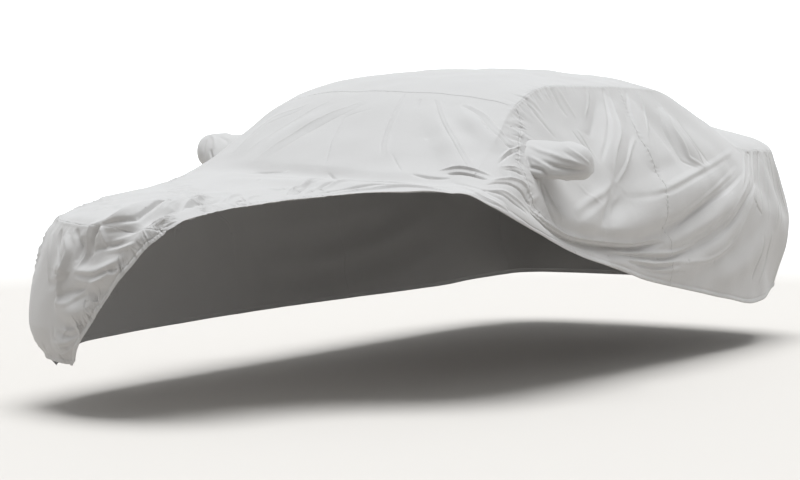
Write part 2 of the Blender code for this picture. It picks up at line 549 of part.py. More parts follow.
def sheet(name, outer, inner):
    """A panel: its outer and inner skins, closed all round by a rim whose diagonals match the next panel's.

    Both skins are cut into the same triangles, along the shorter diagonal of each cell, so that they stay apart.
    """
    rows, lines = outer.shape[:2]
    number = np.arange(rows * lines).reshape(rows, lines)
    a, b, c, d = (n.ravel() for n in (number[:-1, :-1], number[:-1, 1:], number[1:, 1:], number[1:, :-1]))
    points = np.concatenate([outer.reshape(-1, 3), inner.reshape(-1, 3)])
    by_a = np.linalg.norm(points[a] - points[c], axis=1) < np.linalg.norm(points[b] - points[d], axis=1)
    first = np.where(by_a, [a, b, c], [a, b, d]).T
    second = np.where(by_a, [a, c, d], [b, c, d]).T
    skin = np.concatenate([first, second])
    under = rows * lines
    faces = np.concatenate([skin, skin[:, ::-1] + under]).tolist()
    border = np.concatenate([number[0], number[1:, -1], number[-1, -2::-1], number[-2:0:-1, 0]]).tolist()
    for here, after in zip(border, border[1:] + border[:1]):
        if points[here] @ RIM_ORDER < points[after] @ RIM_ORDER:
            faces += [[here, here + under, after + under], [here, after + under, after]]
        else:
            faces += [[here, here + under, after], [after, here + under, after + under]]
    mesh = bpy.data.meshes.new(name)
    mesh.from_pydata(points.tolist(), [], faces)
    return placed(name, mesh)


def placed(name, mesh):
    """An object in the cover's own frame, in its collection."""
    mesh.materials.append(CLOTH)
    mesh.shade_smooth()
    mesh.set_sharp_from_angle(angle=SHARP_ANGLE)
    thing = bpy.data.objects.new(name, mesh)
    COLLECTION.objects.link(thing)
    thing.parent = ORIGIN
    return thing


def pocket_section(row, droop, grown=0.0):
    """One oval ring of a mirror pocket, on the car's left. A pocket that droops hangs lower towards its tip."""
    x, y, z, half_depth, half_height, slant = row
    z -= droop * drooped(x)
    turn = np.linspace(0.0, 2 * np.pi, POCKET_SIDES, endpoint=False)
    rise = (half_height + grown) * np.sin(turn)
    depth = (half_depth + grown) * np.cos(turn)
    return np.stack([np.full(POCKET_SIDES, x), y + depth + slant * rise, z + rise], axis=1)


def drooped(x):
    """The share of its droop that a pocket has reached at x."""
    root, tip = POCKET["rows"][1][0], POCKET_TIP[0]
    return min(max((x - root) / (tip - root), 0.0), 1.0)


def panel_x(y, z):
    """The x of the smooth left side at each y and z."""
    station = station_at(y)
    for _ in range(ROUNDS):
        station = station + (y - side(station, z)[..., 1])
    return side(station, z)[..., 0]


def tube(name, rings, tip=None):
    """An open tube of rings, closed by a flat end where a tip is given."""
    sides = rings.shape[1]
    number = np.arange(len(rings) * sides).reshape(len(rings), sides)
    turned = np.roll(number, -1, axis=1)
    faces = np.stack([number[:-1], turned[:-1], turned[1:], number[1:]], axis=-1).reshape(-1, 4).tolist()
    points = rings.reshape(-1, 3).tolist()
    if tip is None:
        faces += [number[0, ::-1].tolist(), number[-1].tolist()]
    else:
        points.append(tip)
        faces += [[a, b, len(points) - 1] for a, b in zip(number[-1], turned[-1])]
    mesh = bpy.data.meshes.new(name)
    mesh.from_pydata(points, [], faces)
    return mesh


def mirror_pocket(hand, prefix, panel, droop):
    """A mirror pocket, and the hole in its side panel that it is sewn into."""
    rings = np.array([pocket_section(row, droop) for row in POCKET["rows"]])
    root = rings[0]
    root[:, 0] = panel_x(root[:, 1], root[:, 2]) - POCKET_TURN_IN
    cutter_rings = np.array([pocket_section((x, *POCKET["rows"][0][1:]), 0.0, GAP) for x in POCKET_HOLE_X])
    for ring in (rings, cutter_rings):
        ring[..., 0] *= hand
    tip = (hand * POCKET_TIP[0], POCKET_TIP[1], POCKET_TIP[2] - droop)
    if hand < 0:
        rings, cutter_rings = rings[:, ::-1], cutter_rings[:, ::-1]
    pocket = placed(prefix + "_mirror_pocket", tube(prefix + "_mirror_pocket", rings, tip))
    wall = pocket.modifiers.new("cloth", "SOLIDIFY")
    wall.thickness = SHEET
    wall.offset = -1.0
    cutter = placed(prefix + "_pocket_hole", tube(prefix + "_pocket_hole", cutter_rings))
    COLLECTION.objects.unlink(cutter)
    CUTTERS.objects.link(cutter)
    cutter.hide_render = True
    cutter.display_type = "WIRE"
    hole = panel.modifiers.new("mirror pocket", "BOOLEAN")
    hole.operation = "DIFFERENCE"
    hole.object = cutter
    return pocket


for old in list(bpy.data.objects):
    bpy.data.objects.remove(old, do_unlink=True)
COLLECTION = bpy.data.collections.new("car_cover")
CUTTERS = bpy.data.collections.new("cutters")
for collection in (COLLECTION, CUTTERS):
    bpy.context.scene.collection.children.link(collection)
ORIGIN = bpy.data.objects.new("roof_rest", None)
ORIGIN.location = [-place for place in ROOF_REST]
COLLECTION.objects.link(ORIGIN)

CLOTH = bpy.data.materials.new("cover_cloth")
CLOTH.use_nodes = True
surface = CLOTH.node_tree.nodes["Principled BSDF"]
surface.inputs["Base Color"].default_value = CLOTH_COLOUR
surface.inputs["Roughness"].default_value = CLOTH_ROUGHNESS
surface.inputs["Metallic"].default_value = 0.0

panels = {}
outer_skins = folded_grids()
thickness = outward(outer_skins)
for name, outer in outer_skins.items():
    panels[name] = sheet(name, drawn_back(outer), drawn_back(outer - SHEET * thickness[name]))
mirror_pocket(1, "left", panels["left_front_side"], LEFT_DROOP)
mirror_pocket(-1, "right", panels["right_front_side"], 0.0)
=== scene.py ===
# %% [markdown]
# # A fitted cover of light grey cloth
# The real thing is one thin skin of cloth, sewn from eight panels and two small pockets, and it hangs as
# it was thrown. It could be one simulated cloth, but a simulation never lands in the folds of one given
# photograph. So each panel is drawn as the smooth form that it lies on, and its folds are pressed into it
# one by one. The packed model is loaded first, and nothing in it is moved.

# %% Start from the packed model
import json
import math

import bmesh
import bpy
import numpy as np
from mathutils import Matrix, Vector
from mathutils.bvhtree import BVHTree

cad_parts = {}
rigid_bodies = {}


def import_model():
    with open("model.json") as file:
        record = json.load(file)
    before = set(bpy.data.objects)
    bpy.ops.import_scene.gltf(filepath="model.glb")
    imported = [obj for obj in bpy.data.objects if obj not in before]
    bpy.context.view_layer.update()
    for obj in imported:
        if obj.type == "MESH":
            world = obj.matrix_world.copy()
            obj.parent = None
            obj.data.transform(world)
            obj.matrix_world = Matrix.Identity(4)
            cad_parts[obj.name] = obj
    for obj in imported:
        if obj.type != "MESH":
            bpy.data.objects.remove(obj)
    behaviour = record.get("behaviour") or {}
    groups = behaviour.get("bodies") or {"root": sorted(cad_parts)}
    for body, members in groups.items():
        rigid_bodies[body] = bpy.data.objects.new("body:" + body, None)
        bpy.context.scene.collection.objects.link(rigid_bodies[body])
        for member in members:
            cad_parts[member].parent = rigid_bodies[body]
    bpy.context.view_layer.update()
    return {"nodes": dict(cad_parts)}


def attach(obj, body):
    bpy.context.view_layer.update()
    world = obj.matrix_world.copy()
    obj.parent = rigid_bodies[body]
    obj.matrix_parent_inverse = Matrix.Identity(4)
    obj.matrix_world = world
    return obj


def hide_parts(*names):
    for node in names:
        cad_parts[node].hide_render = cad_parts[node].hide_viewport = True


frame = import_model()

ROOF_REST = np.array([0.0, 0.40, 1.471])  # the model's origin, measured from the ground
print("panels and pockets in the model:", sorted(frame["nodes"]))

# %% [markdown]
# ## The camera
# The folds are read off the photograph, so the camera comes first, at the place that the photograph was
# taken from. It could be aimed by eye, but then no fold would land on its own pixels, so its place and
# its turn are written as numbers. A long lens from nearly fourteen metres keeps the two ends of the cover
# nearly the same size. Everything here is measured from the ground, with x to the cover's left, y to its
# tail and z up, and is moved to the model's own origin when it is made.

# %% Place the camera
PHOTO_WIDTH, PHOTO_HEIGHT = 800, 480
CAMERA_AT = np.array([6.8028, -11.7195, 1.6008])
TURN, TILT = 0.5386, 0.0707
FOCUS_PIXELS = 2772.0
SENSOR_MM = 36.0

ahead = np.array([-math.sin(TURN) * math.cos(TILT), math.cos(TURN) * math.cos(TILT), -math.sin(TILT)])
to_right = np.cross(ahead, [0.0, 0.0, 1.0])
to_right /= np.linalg.norm(to_right)
upward = np.cross(to_right, ahead)

lens = bpy.data.cameras.new("photo_camera")
lens.sensor_width = SENSOR_MM
lens.lens = FOCUS_PIXELS * SENSOR_MM / PHOTO_WIDTH
camera = bpy.data.objects.new("photo_camera", lens)
bpy.context.scene.collection.objects.link(camera)
axes = Matrix(np.array([to_right, upward, -ahead]).T.tolist()).to_4x4()
camera.matrix_world = Matrix.Translation((CAMERA_AT - ROOF_REST).tolist()) @ axes
bpy.context.scene.camera = camera
print("lens", round(lens.lens, 1), "mm")

# %% [markdown]
# ## The form under the folds
# A sewn cover has a simple shape once its folds are ignored: a plan outline, a seam between top and
# sides, and soft shoulders. It could be pulled into shape by hand on a mesh, but then its sizes would be
# hard to find and to change. It is written here as short tables, one row for each station, and everything
# between two rows is a smooth curve. These are the same sizes as the model's, because this cloth has to
# lie on it.

# %% Sizes round the outline
SECTIONS = {
    "columns": (
        "x", "y", "seam_in", "seam_z", "upper_in", "upper_z", "waist_in", "waist_z", "flank_z",
        "low_in", "low_z",
    ),
    "rows": (
        (0.000, -2.375, 0.050, 0.822, 0.025, 0.775, 0.012, 0.690, 0.380, 0.055, 0.17),
        (0.300, -2.355, 0.050, 0.822, 0.028, 0.775, 0.014, 0.690, 0.380, 0.055, 0.17),
        (0.560, -2.295, 0.068, 0.826, 0.045, 0.780, 0.022, 0.690, 0.380, 0.070, 0.17),
        (0.765, -2.190, 0.112, 0.834, 0.078, 0.785, 0.042, 0.690, 0.380, 0.105, 0.17),
        (0.885, -2.040, 0.150, 0.845, 0.102, 0.795, 0.052, 0.690, 0.380, 0.120, 0.17),
        (0.927, -1.800, 0.180, 0.890, 0.090, 0.855, 0.036, 0.770, 0.520, 0.040, 0.26),
        (0.940, -1.400, 0.190, 0.936, 0.088, 0.912, 0.030, 0.835, 0.620, 0.010, 0.35),
        (0.945, -1.030, 0.200, 0.985, 0.100, 0.955, 0.034, 0.870, 0.650, 0.010, 0.36),
        (0.945, -0.700, 0.240, 1.140, 0.140, 1.055, 0.056, 0.940, 0.710, 0.010, 0.37),
        (0.945, -0.400, 0.298, 1.300, 0.198, 1.170, 0.075, 0.990, 0.740, 0.010, 0.37),
        (0.945, 0.000, 0.332, 1.396, 0.238, 1.250, 0.080, 1.010, 0.740, 0.010, 0.37),
        (0.945, 0.800, 0.345, 1.386, 0.240, 1.240, 0.082, 1.020, 0.750, 0.010, 0.37),
        (0.943, 1.250, 0.340, 1.356, 0.235, 1.220, 0.084, 1.020, 0.760, 0.010, 0.37),
        (0.938, 1.600, 0.245, 1.205, 0.165, 1.120, 0.080, 0.990, 0.750, 0.012, 0.38),
        (0.930, 1.900, 0.140, 1.038, 0.105, 0.985, 0.060, 0.890, 0.700, 0.020, 0.39),
        (0.900, 2.280, 0.100, 1.020, 0.065, 0.920, 0.038, 0.800, 0.630, 0.085, 0.28),
        (0.835, 2.410, 0.100, 1.022, 0.065, 0.920, 0.038, 0.800, 0.630, 0.085, 0.28),
        (0.700, 2.490, 0.100, 1.028, 0.060, 0.925, 0.035, 0.800, 0.630, 0.075, 0.28),
        (0.400, 2.540, 0.100, 1.032, 0.055, 0.930, 0.030, 0.800, 0.630, 0.070, 0.28),
        (0.000, 2.558, 0.100, 1.032, 0.055, 0.930, 0.030, 0.800, 0.630, 0.070, 0.28),
    ),
}
print(len(SECTIONS["rows"]), "stations round each half")

# %% Sizes along the top
def column(table, name):
    place = table["columns"].index(name)
    return np.array([row[place] for row in table["rows"]], float)


TOP = {
    "columns": ("edge_y", "mid_y", "mid_z", "fullness"),
    "rows": (
        (-2.040, -2.325, 0.822, 2.0),
        (-1.980, -2.280, 0.862, 2.2),
        (-1.880, -2.180, 0.880, 2.4),
        (-1.650, -1.920, 0.908, 2.4),
        (-1.350, -1.560, 0.942, 2.4),
        (-1.100, -1.250, 0.978, 2.4),
        (-0.960, -1.090, 1.010, 2.4),
        (-0.700, -0.820, 1.172, 2.6),
        (-0.380, -0.460, 1.376, 2.8),
        (-0.100, -0.140, 1.446, 2.8),
        (0.300, 0.290, 1.473, 2.4),
        (0.700, 0.700, 1.472, 2.4),
        (1.100, 1.120, 1.450, 2.6),
        (1.320, 1.350, 1.406, 2.8),
        (1.600, 1.660, 1.308, 3.0),
        (1.850, 1.930, 1.224, 3.4),
        (2.080, 2.170, 1.150, 5.5),
        (2.200, 2.330, 1.122, 7.0),
        (2.250, 2.430, 1.090, 7.0),
        (2.280, 2.458, 1.032, 4.0),
    ),
}
print("the top rises to", column(TOP, "mid_z").max(), "m above the ground")

# %% Sizes of the hems
BONNET_HEM = {
    "columns": ("y", "x"),
    "rows": (
        (-2.34, 0.03), (-2.29, 0.10), (-2.16, 0.14), (-1.96, 0.15), (-1.85, 0.22), (-1.66, 0.29),
        (-1.49, 0.40), (-1.34, 0.58), (-1.21, 0.80),
    ),
}
LEFT_HEM = {
    "columns": ("y", "z"),
    "rows": (
        (-1.21, 0.945), (-1.06, 0.880), (-0.88, 0.806), (-0.51, 0.674), (-0.26, 0.608), (0.14, 0.517),
        (0.38, 0.460), (0.79, 0.388), (1.41, 0.284), (1.78, 0.233), (1.90, 0.237), (2.10, 0.262),
        (2.45, 0.285),
    ),
}
RIGHT_HEM = {
    "columns": ("y", "z"),
    "rows": (
        (-2.36, 0.225), (-2.20, 0.190), (-2.05, 0.180), (-1.60, 0.240), (0.00, 0.260), (1.60, 0.250),
        (2.45, 0.285),
    ),
}
NOSE_HEM = {
    "columns": ("z", "x"),
    "rows": (
        (0.20, -0.480), (0.25, -0.443), (0.30, -0.407), (0.40, -0.322), (0.51, -0.235), (0.60, -0.160),
        (0.68, -0.083), (0.75, -0.020), (0.83, 0.060),
    ),
}
print("the left hem comes down to", column(LEFT_HEM, "z").min(), "m above the ground")

# %% How the gathered seams lean
LEAN = {
    "columns": ("z", "pillar", "door"),
    "rows": (
        (0.38, 0.030, -0.100), (0.52, 0.025, -0.112), (0.64, 0.010, -0.142), (0.71, -0.030, -0.205),
        (0.78, -0.160, -0.205), (0.84, -0.250, -0.193), (0.91, -0.300, -0.166), (1.01, -0.280, -0.165),
        (1.09, -0.260, -0.168), (1.16, -0.230, -0.160), (1.23, -0.100, -0.165), (1.30, 0.000, -0.170),
        (1.39, 0.000, -0.170),
    ),
}
print("the gathered seams lean by up to", -column(LEAN, "pillar").min(), "m")

# %% Sizes of a mirror pocket
POCKET = {
    "columns": ("x", "y", "z", "half_depth", "half_height", "slant"),
    "rows": (
        (0.800, -0.500, 1.075, 0.066, 0.082, 0.90),
        (0.900, -0.500, 1.075, 0.066, 0.082, 0.90),
        (0.950, -0.480, 1.080, 0.078, 0.086, 0.60),
        (1.000, -0.462, 1.080, 0.080, 0.084, 0.30),
        (1.045, -0.452, 1.078, 0.072, 0.076, 0.10),
        (1.070, -0.446, 1.077, 0.052, 0.056, 0.00),
        (1.082, -0.444, 1.076, 0.026, 0.030, 0.00),
        (1.085, -0.443, 1.076, 0.001, 0.001, 0.00),
    ),
}
print("a pocket has", len(POCKET["rows"]), "rings from its root to its tip")

# %% Single sizes of the smooth form
LEVELS = ("low", "flank", "waist", "upper", "seam")
NOSE_CORNER_Y, PILLAR_Y, DOOR_SEAM_Y, TAIL_CORNER_Y = -2.040, -0.380, 0.795, 2.280
LEAN_START_Y, LEAN_DROP = -1.60, 0.25
NOSE_FOOT_Z = 0.225
EDGE_RUN = 0.26
NOSE_BEND_Y, NOSE_BEND_RUN = -1.30, 0.70
TAIL_BEND_Y, TAIL_BEND_RUN = 1.75, 0.50
CROWDING = 1.25
ROUNDS = 12
OUTLINE_STEP = 0.03
print("the door seam lies", DOOR_SEAM_Y - PILLAR_Y, "m behind the front gathered seam")

# %% Curves through a table
def between(knots, values, at, level_ends=True):
    """A smooth curve through a table's values that never overshoots them."""
    at = np.asarray(at, float)
    shape = (len(knots),) + at.shape
    spread = (-1,) + (1,) * at.ndim
    knots, values = (
        np.broadcast_to(a if a.ndim > 1 else a.reshape(spread), shape) for a in (knots, values)
    )
    at = np.clip(at, knots[0], knots[-1])
    rise = np.diff(values, axis=0) / np.diff(knots, axis=0)
    turns = rise[1:] * rise[:-1] <= 0
    total = np.where(turns, 1.0, rise[1:] + rise[:-1])
    middle = np.where(turns, 0.0, 2 * rise[1:] * rise[:-1] / total)
    slope = np.concatenate([rise[:1], middle, rise[-1:]])
    if level_ends:
        slope[[0, -1]] = 0.0
    low = (at >= knots[1:-1]).sum(axis=0)[None]
    start, end = (np.take_along_axis(knots, low + more, axis=0)[0] for more in (0, 1))
    first, last = (np.take_along_axis(values, low + more, axis=0)[0] for more in (0, 1))
    leaving, arriving = (np.take_along_axis(slope, low + more, axis=0)[0] for more in (0, 1))
    u = (at - start) / (end - start)
    ease = u * u * (3 - 2 * u)
    hold = u * (1 - u) ** 2 * leaving - u * u * (1 - u) * arriving
    return first * (1 - ease) + last * ease + (end - start) * hold


def read(table, knots, names, at):
    return [between(column(table, knots), column(table, name), at) for name in names]


def resample(points, cells):
    """Points at equal steps along a polyline."""
    run = np.concatenate([[0.0], np.cumsum(np.linalg.norm(np.diff(points, axis=0), axis=1))])
    steps = np.linspace(0.0, run[-1], cells + 1)
    return np.stack([np.interp(steps, run, points[:, axis]) for axis in range(3)], axis=1)


print("the middle of the top at the nose is", read(TOP, "edge_y", ("mid_z",), -2.0)[0].round(3), "m high")

# %% Places along the outline
OUTLINE_X, OUTLINE_Y = column(SECTIONS, "x"), column(SECTIONS, "y")
STATION = np.concatenate([[0.0], np.cumsum(np.hypot(np.diff(OUTLINE_X), np.diff(OUTLINE_Y)))])
TAIL_MIDDLE = STATION[-1]
SAMPLES = 160


def station_at(y):
    return np.interp(y, OUTLINE_Y, STATION)


NOSE_CORNER, PILLAR, DOOR_SEAM, TAIL_CORNER = (
    station_at(y) for y in (NOSE_CORNER_Y, PILLAR_Y, DOOR_SEAM_Y, TAIL_CORNER_Y)
)


def plan(station):
    return between(STATION, OUTLINE_X, station, level_ends=False), between(STATION, OUTLINE_Y, station)


def seam_height(station):
    return between(STATION, column(SECTIONS, "seam_z"), np.abs(station))


print("round the outline from nose to tail:", round(TAIL_MIDDLE, 3), "m")

# %% The smooth side
def lean(station, z):
    """How far along the cover a line down the side has moved at height z, to follow the gathered seams."""
    y = plan(station)[1]
    pillar, door = read(LEAN, "z", ("pillar", "door"), z)
    before_pillar = np.clip((y - LEAN_START_Y) / (PILLAR_Y - LEAN_START_Y), 0.0, 1.0)
    to_door = np.clip((y - PILLAR_Y) / (DOOR_SEAM_Y - PILLAR_Y), 0.0, 1.0)
    to_tail = np.clip((y - DOOR_SEAM_Y) / (TAIL_CORNER_Y - DOOR_SEAM_Y), 0.0, 1.0)
    below_seam = np.clip((seam_height(station) - z) / LEAN_DROP, 0.0, 1.0)
    return below_seam * (before_pillar * (1 - to_door) * pillar + to_door * (1 - to_tail) * door)


def side(station, z):
    """Points on the smooth side, by station and height. The right side has negative stations."""
    station, z = np.broadcast_arrays(np.asarray(station, float), np.asarray(z, float))
    moved = np.abs(station) + lean(np.abs(station), z)
    heights = np.array([between(STATION, column(SECTIONS, level + "_z"), moved) for level in LEVELS])
    insets = np.zeros(heights.shape)
    for place, level in enumerate(LEVELS):
        if level != "flank":
            insets[place] = between(STATION, column(SECTIONS, level + "_in"), moved)
    inset = between(heights, insets, z, level_ends=False)
    x, y = plan(moved)
    x1, y1 = plan(np.clip(moved + OUTLINE_STEP, 0.0, TAIL_MIDDLE))
    x0, y0 = plan(np.clip(moved - OUTLINE_STEP, 0.0, TAIL_MIDDLE))
    length = np.hypot(x1 - x0, y1 - y0)
    inward_x, inward_y = (y0 - y1) / length, (x1 - x0) / length
    return np.stack([np.sign(station) * (x + inward_x * inset), y + inward_y * inset, z], axis=-1)


print("the side at the door seam, 0.8 m up:", side(DOOR_SEAM, 0.8).round(3))

# %% The seam round the nose and the tail
def seam_arc(start, end):
    """The seam round the nose or the tail: its stations and its points, from the middle outwards."""
    stations = np.linspace(start, end, SAMPLES)
    arc = side(stations, seam_height(stations))
    order = np.argsort(arc[:, 0])
    return stations[order], arc[order]


def corner_shape(start, end):
    arc = seam_arc(start, end)[1]
    return arc[:, 0] / arc[-1, 0], (arc[:, 1] - arc[0, 1]) / (arc[-1, 1] - arc[0, 1])


NEAR_MIDDLE = 0.002
NOSE_SHAPE = corner_shape(NEAR_MIDDLE, NOSE_CORNER)
TAIL_SHAPE = corner_shape(TAIL_CORNER, TAIL_MIDDLE - NEAR_MIDDLE)
print("each corner is drawn through", SAMPLES, "points")

# %% The smooth top
def top(station, shares):
    """Lines across the smooth top, from the right seam (share -1) to the left one (share 1)."""
    station = np.asarray(station, float)[:, None]
    edge_y = plan(station)[1]
    mid_y, mid_z, fullness = read(TOP, "edge_y", ("mid_y", "mid_z", "fullness"), edge_y)
    end = side(station, seam_height(station))
    reach = np.abs(shares)[None]
    nose = np.clip((NOSE_BEND_Y - edge_y) / NOSE_BEND_RUN, 0.0, 1.0)
    tail = np.clip((edge_y - TAIL_BEND_Y) / TAIL_BEND_RUN, 0.0, 1.0)
    bend = nose * np.interp(reach, *NOSE_SHAPE) + tail * np.interp(reach, *TAIL_SHAPE)
    bend = bend + (1 - nose - tail) * reach**2
    return np.stack([
        shares[None] * end[..., 0],
        mid_y + (end[..., 1] - mid_y) * bend,
        mid_z + (end[..., 2] - mid_z) * reach**fullness,
    ], axis=-1)


print("the roof over the door seam:", top([DOOR_SEAM], np.array([0.0])).round(3))

# %% [markdown]
# ## The eight panels as grids
# A panel's grid runs the way its cloth was cut: rows go tailward, or down on the tail, and lines go from
# the cover's right to its left. The cover could be one mesh with its seams marked on it, but separate
# panels can each be folded and sewn on their own. Two panels that are sewn together share the
# points of their seam, so no gap can open.

# %% Lines down the side
ACROSS, DOWN = 64, 60  # cells over the roof, and down every side
BONNET_ROWS, FRONT_ROWS, REAR_ROWS = 104, 72, 72


def hem_height(table, stations):
    z = column(table, "z").mean() * np.ones(np.shape(stations))
    for _ in range(ROUNDS):
        z = read(table, "y", ("z",), side(stations, z)[..., 1])[0]
    return z


def side_lines(stations, table):
    """Close points down the side, from the seam to the hem."""
    stations = np.asarray(stations, float)
    down = np.linspace(0.0, 1.0, SAMPLES)[None]
    seam, hem = seam_height(stations)[:, None], hem_height(table, stations)[:, None]
    return side(stations[:, None], seam + (hem - seam) * down)


print("the left hem at the door seam:", hem_height(LEFT_HEM, np.array([DOOR_SEAM])).round(3), "m up")

# %% The bonnet panel's grid
def bonnet_grid():
    """From the right seam to the hem, and down the left side where the panel reaches it."""
    stations = np.linspace(NOSE_CORNER, PILLAR, BONNET_ROWS + 1)
    tops = top(stations, np.linspace(-1.0, 1.0, 10 * SAMPLES))
    wings = side_lines(stations, LEFT_HEM)
    hem_x = between(column(BONNET_HEM, "y"), column(BONNET_HEM, "x"), tops[..., 1], level_ends=False)
    uncovered = (tops[..., 1] < BONNET_HEM["rows"][-1][0]) & (tops[..., 0] > hem_x)
    grid = []
    for line, wing, bare in zip(tops, wings, uncovered):
        over = int(np.argmax(bare)) - 1 if bare.any() else len(line) - 1
        line = line[: over + 1] if bare.any() else np.concatenate([line, wing[1:]])
        run = np.concatenate([[0.0], np.cumsum(np.linalg.norm(np.diff(line, axis=0), axis=1))])
        split = min(over, int(np.searchsorted(run, run[-1] - EDGE_RUN)))
        grid.append(np.concatenate([resample(line[: split + 1], ACROSS), resample(line[split:], DOWN)[1:]]))
    return np.array(grid)


bonnet = bonnet_grid()
print("bonnet panel:", bonnet.shape[:2], "rows and lines")

# %% The nose panel's grid
def seam_stations(x, start, end):
    stations, arc = seam_arc(start, end)
    return np.where(x < 0, -1.0, 1.0) * np.interp(np.abs(x), arc[:, 0], stations)


def nose_grid(bonnet):
    """Hangs from the bonnet panel's front and right edges; its lines lean with the slanting hem."""
    front = bonnet[0, :0:-1]
    tops = seam_stations(front[:, 0], NEAR_MIDDLE, NOSE_CORNER)
    share = ((tops + NOSE_CORNER) / (tops[0] + NOSE_CORNER))[:, None]
    seam = seam_height(tops)[:, None]
    z = seam + (NOSE_FOOT_Z - seam) * np.linspace(0.0, 1.0, SAMPLES)[None]
    hem = seam_stations(read(NOSE_HEM, "z", ("x",), z)[0], NEAR_MIDDLE, NOSE_CORNER)
    slanting = side(-NOSE_CORNER + share * (hem + NOSE_CORNER), z)
    straight = side_lines(-np.linspace(NOSE_CORNER, PILLAR, BONNET_ROWS + 1), RIGHT_HEM)
    grid = np.array([resample(line, DOWN)[::-1] for line in (*slanting, *straight)])
    grid[: len(front), -1] = front
    grid[len(front) :, -1] = bonnet[:, 0]
    return grid


nose = nose_grid(bonnet)
print("nose panel:", nose.shape[:2], "rows and lines")

# %% The side, roof and tail panels' grids
def side_grid(hand, start, end, cells, table):
    lines = [resample(line, DOWN) for line in side_lines(hand * np.linspace(start, end, cells + 1), table)]
    return np.array(lines) if hand > 0 else np.array(lines)[:, ::-1]


def roof_grid(bonnet):
    to_door = np.linspace(PILLAR, DOOR_SEAM, FRONT_ROWS + 1)
    to_tail = np.linspace(DOOR_SEAM, TAIL_CORNER, REAR_ROWS + 1)
    shares = np.sin(np.linspace(-CROWDING, CROWDING, ACROSS + 1)) / np.sin(CROWDING)
    grid = top(np.concatenate([to_door, to_tail[1:]]), shares)
    fade = np.linspace(1.0, 0.0, FRONT_ROWS)[:, None, None]
    grid[:FRONT_ROWS] += fade * (bonnet[-1, : ACROSS + 1] - grid[0])
    return grid


def tail_grid(roof):
    stations = seam_stations(roof[-1, :, 0], TAIL_CORNER, TAIL_MIDDLE - NEAR_MIDDLE)
    stations[[0, -1]] = -TAIL_CORNER, TAIL_CORNER
    right, left = stations[stations < 0], stations[stations >= 0]
    lines = [resample(line, DOWN) for line in (*side_lines(right, RIGHT_HEM), *side_lines(left, LEFT_HEM))]
    grid = np.array(lines).transpose(1, 0, 2)
    grid[0] = roof[-1]
    return grid


roof = roof_grid(bonnet)
left_front = side_grid(1, PILLAR, DOOR_SEAM, FRONT_ROWS, LEFT_HEM)
left_front[0] = bonnet[-1, ACROSS:]
PANELS = {
    "bonnet_panel": bonnet,
    "roof_panel": roof,
    "nose_panel": nose,
    "left_front_side": left_front,
    "left_rear_side": side_grid(1, DOOR_SEAM, TAIL_CORNER, REAR_ROWS, LEFT_HEM),
    "right_front_side": side_grid(-1, PILLAR, DOOR_SEAM, FRONT_ROWS, RIGHT_HEM),
    "right_rear_side": side_grid(-1, DOOR_SEAM, TAIL_CORNER, REAR_ROWS, RIGHT_HEM),
    "tail_panel": tail_grid(roof),
}
print({name: grid.shape[:2] for name, grid in PANELS.items()})


# %% Which way is outward
SAME_POINT_DIGITS = 5  # points of two panels that agree this far are one point of the seam


def outward(grids):
    """The outward direction at every point. Two panels that share a seam agree on it there."""
    points = np.concatenate([grid.reshape(-1, 3) for grid in grids.values()])
    _, shared = np.unique(np.round(points, SAME_POINT_DIGITS), axis=0, return_inverse=True)
    shared = shared.reshape(-1)
    total = np.zeros((shared.max() + 1, 3))
    numbers, first = {}, 0
    for name, grid in grids.items():
        rows, lines = grid.shape[:2]
        facing = np.cross(grid[:-1, 1:] - grid[1:, :-1], grid[1:, 1:] - grid[:-1, :-1])
        number = shared[first : first + rows * lines].reshape(rows, lines)
        for corner in (number[:-1, :-1], number[:-1, 1:], number[1:, :-1], number[1:, 1:]):
            np.add.at(total, corner, facing)
        numbers[name] = number
        first += rows * lines
    total /= np.linalg.norm(total, axis=1, keepdims=True)
    return {name: total[number] for name, number in numbers.items()}


OUTWARD = outward(PANELS)
print("outward at the middle of the roof:", OUTWARD["roof_panel"][FRONT_ROWS, ACROSS // 2].round(3))

# %% [markdown]
# ## From the photograph to the cloth
# A crease is easiest to describe where it was seen, as the pixels that it runs through. It could be
# placed in metres instead, but each of its points would be three guessed numbers. A ray from the camera
# through each pixel meets the smooth cloth at one place, and that place is where the crease is pressed
# in.

# %% Find pixels on the cloth
def quads_of(grid, first=0):
    rows, lines = grid.shape[:2]
    number = first + np.arange(rows * lines).reshape(rows, lines)
    corners = (number[:-1, :-1], number[:-1, 1:], number[1:, 1:], number[1:, :-1])
    return np.stack(corners, axis=-1).reshape(-1, 4)


def surface_of(grids):
    points, faces, first = [], [], 0
    for grid in grids:
        points.append(grid.reshape(-1, 3))
        faces += quads_of(grid, first).tolist()
        first += len(points[-1])
    return BVHTree.FromPolygons(np.concatenate(points).tolist(), faces)


SMOOTH = surface_of(PANELS.values())


def on_cloth(pixels, surface):
    """The places on a surface that show at these pixels of the photograph."""
    places = []
    for across, down in pixels:
        step = to_right * (across - PHOTO_WIDTH / 2) - upward * (down - PHOTO_HEIGHT / 2)
        ray = Vector(ahead + step / FOCUS_PIXELS)
        place = surface.ray_cast(Vector(CAMERA_AT), ray)[0]
        if place is not None:
            places.append(place)
        elif places:
            print("pixel beside the cloth:", across, down)
    return np.array(places, float).reshape(-1, 3)


TRIAL_PIXEL = (430, 150)
print("pixel", TRIAL_PIXEL, "shows the cloth at", on_cloth([TRIAL_PIXEL], SMOOTH).round(2))

# %% [markdown]
# ## The folds
# On the real cover these are the places where the cloth has too much room and falls into swags, or is
# drawn tight. They could be sculpted with brushes, but a row of a table can be read, and changed on its
# own. Each row is one fold: how far it reaches to either side of its line, how high it stands (or how
# deep it lies), what is left of it at its two ends, and its line. The main folds are the model's own, as
# places in metres.

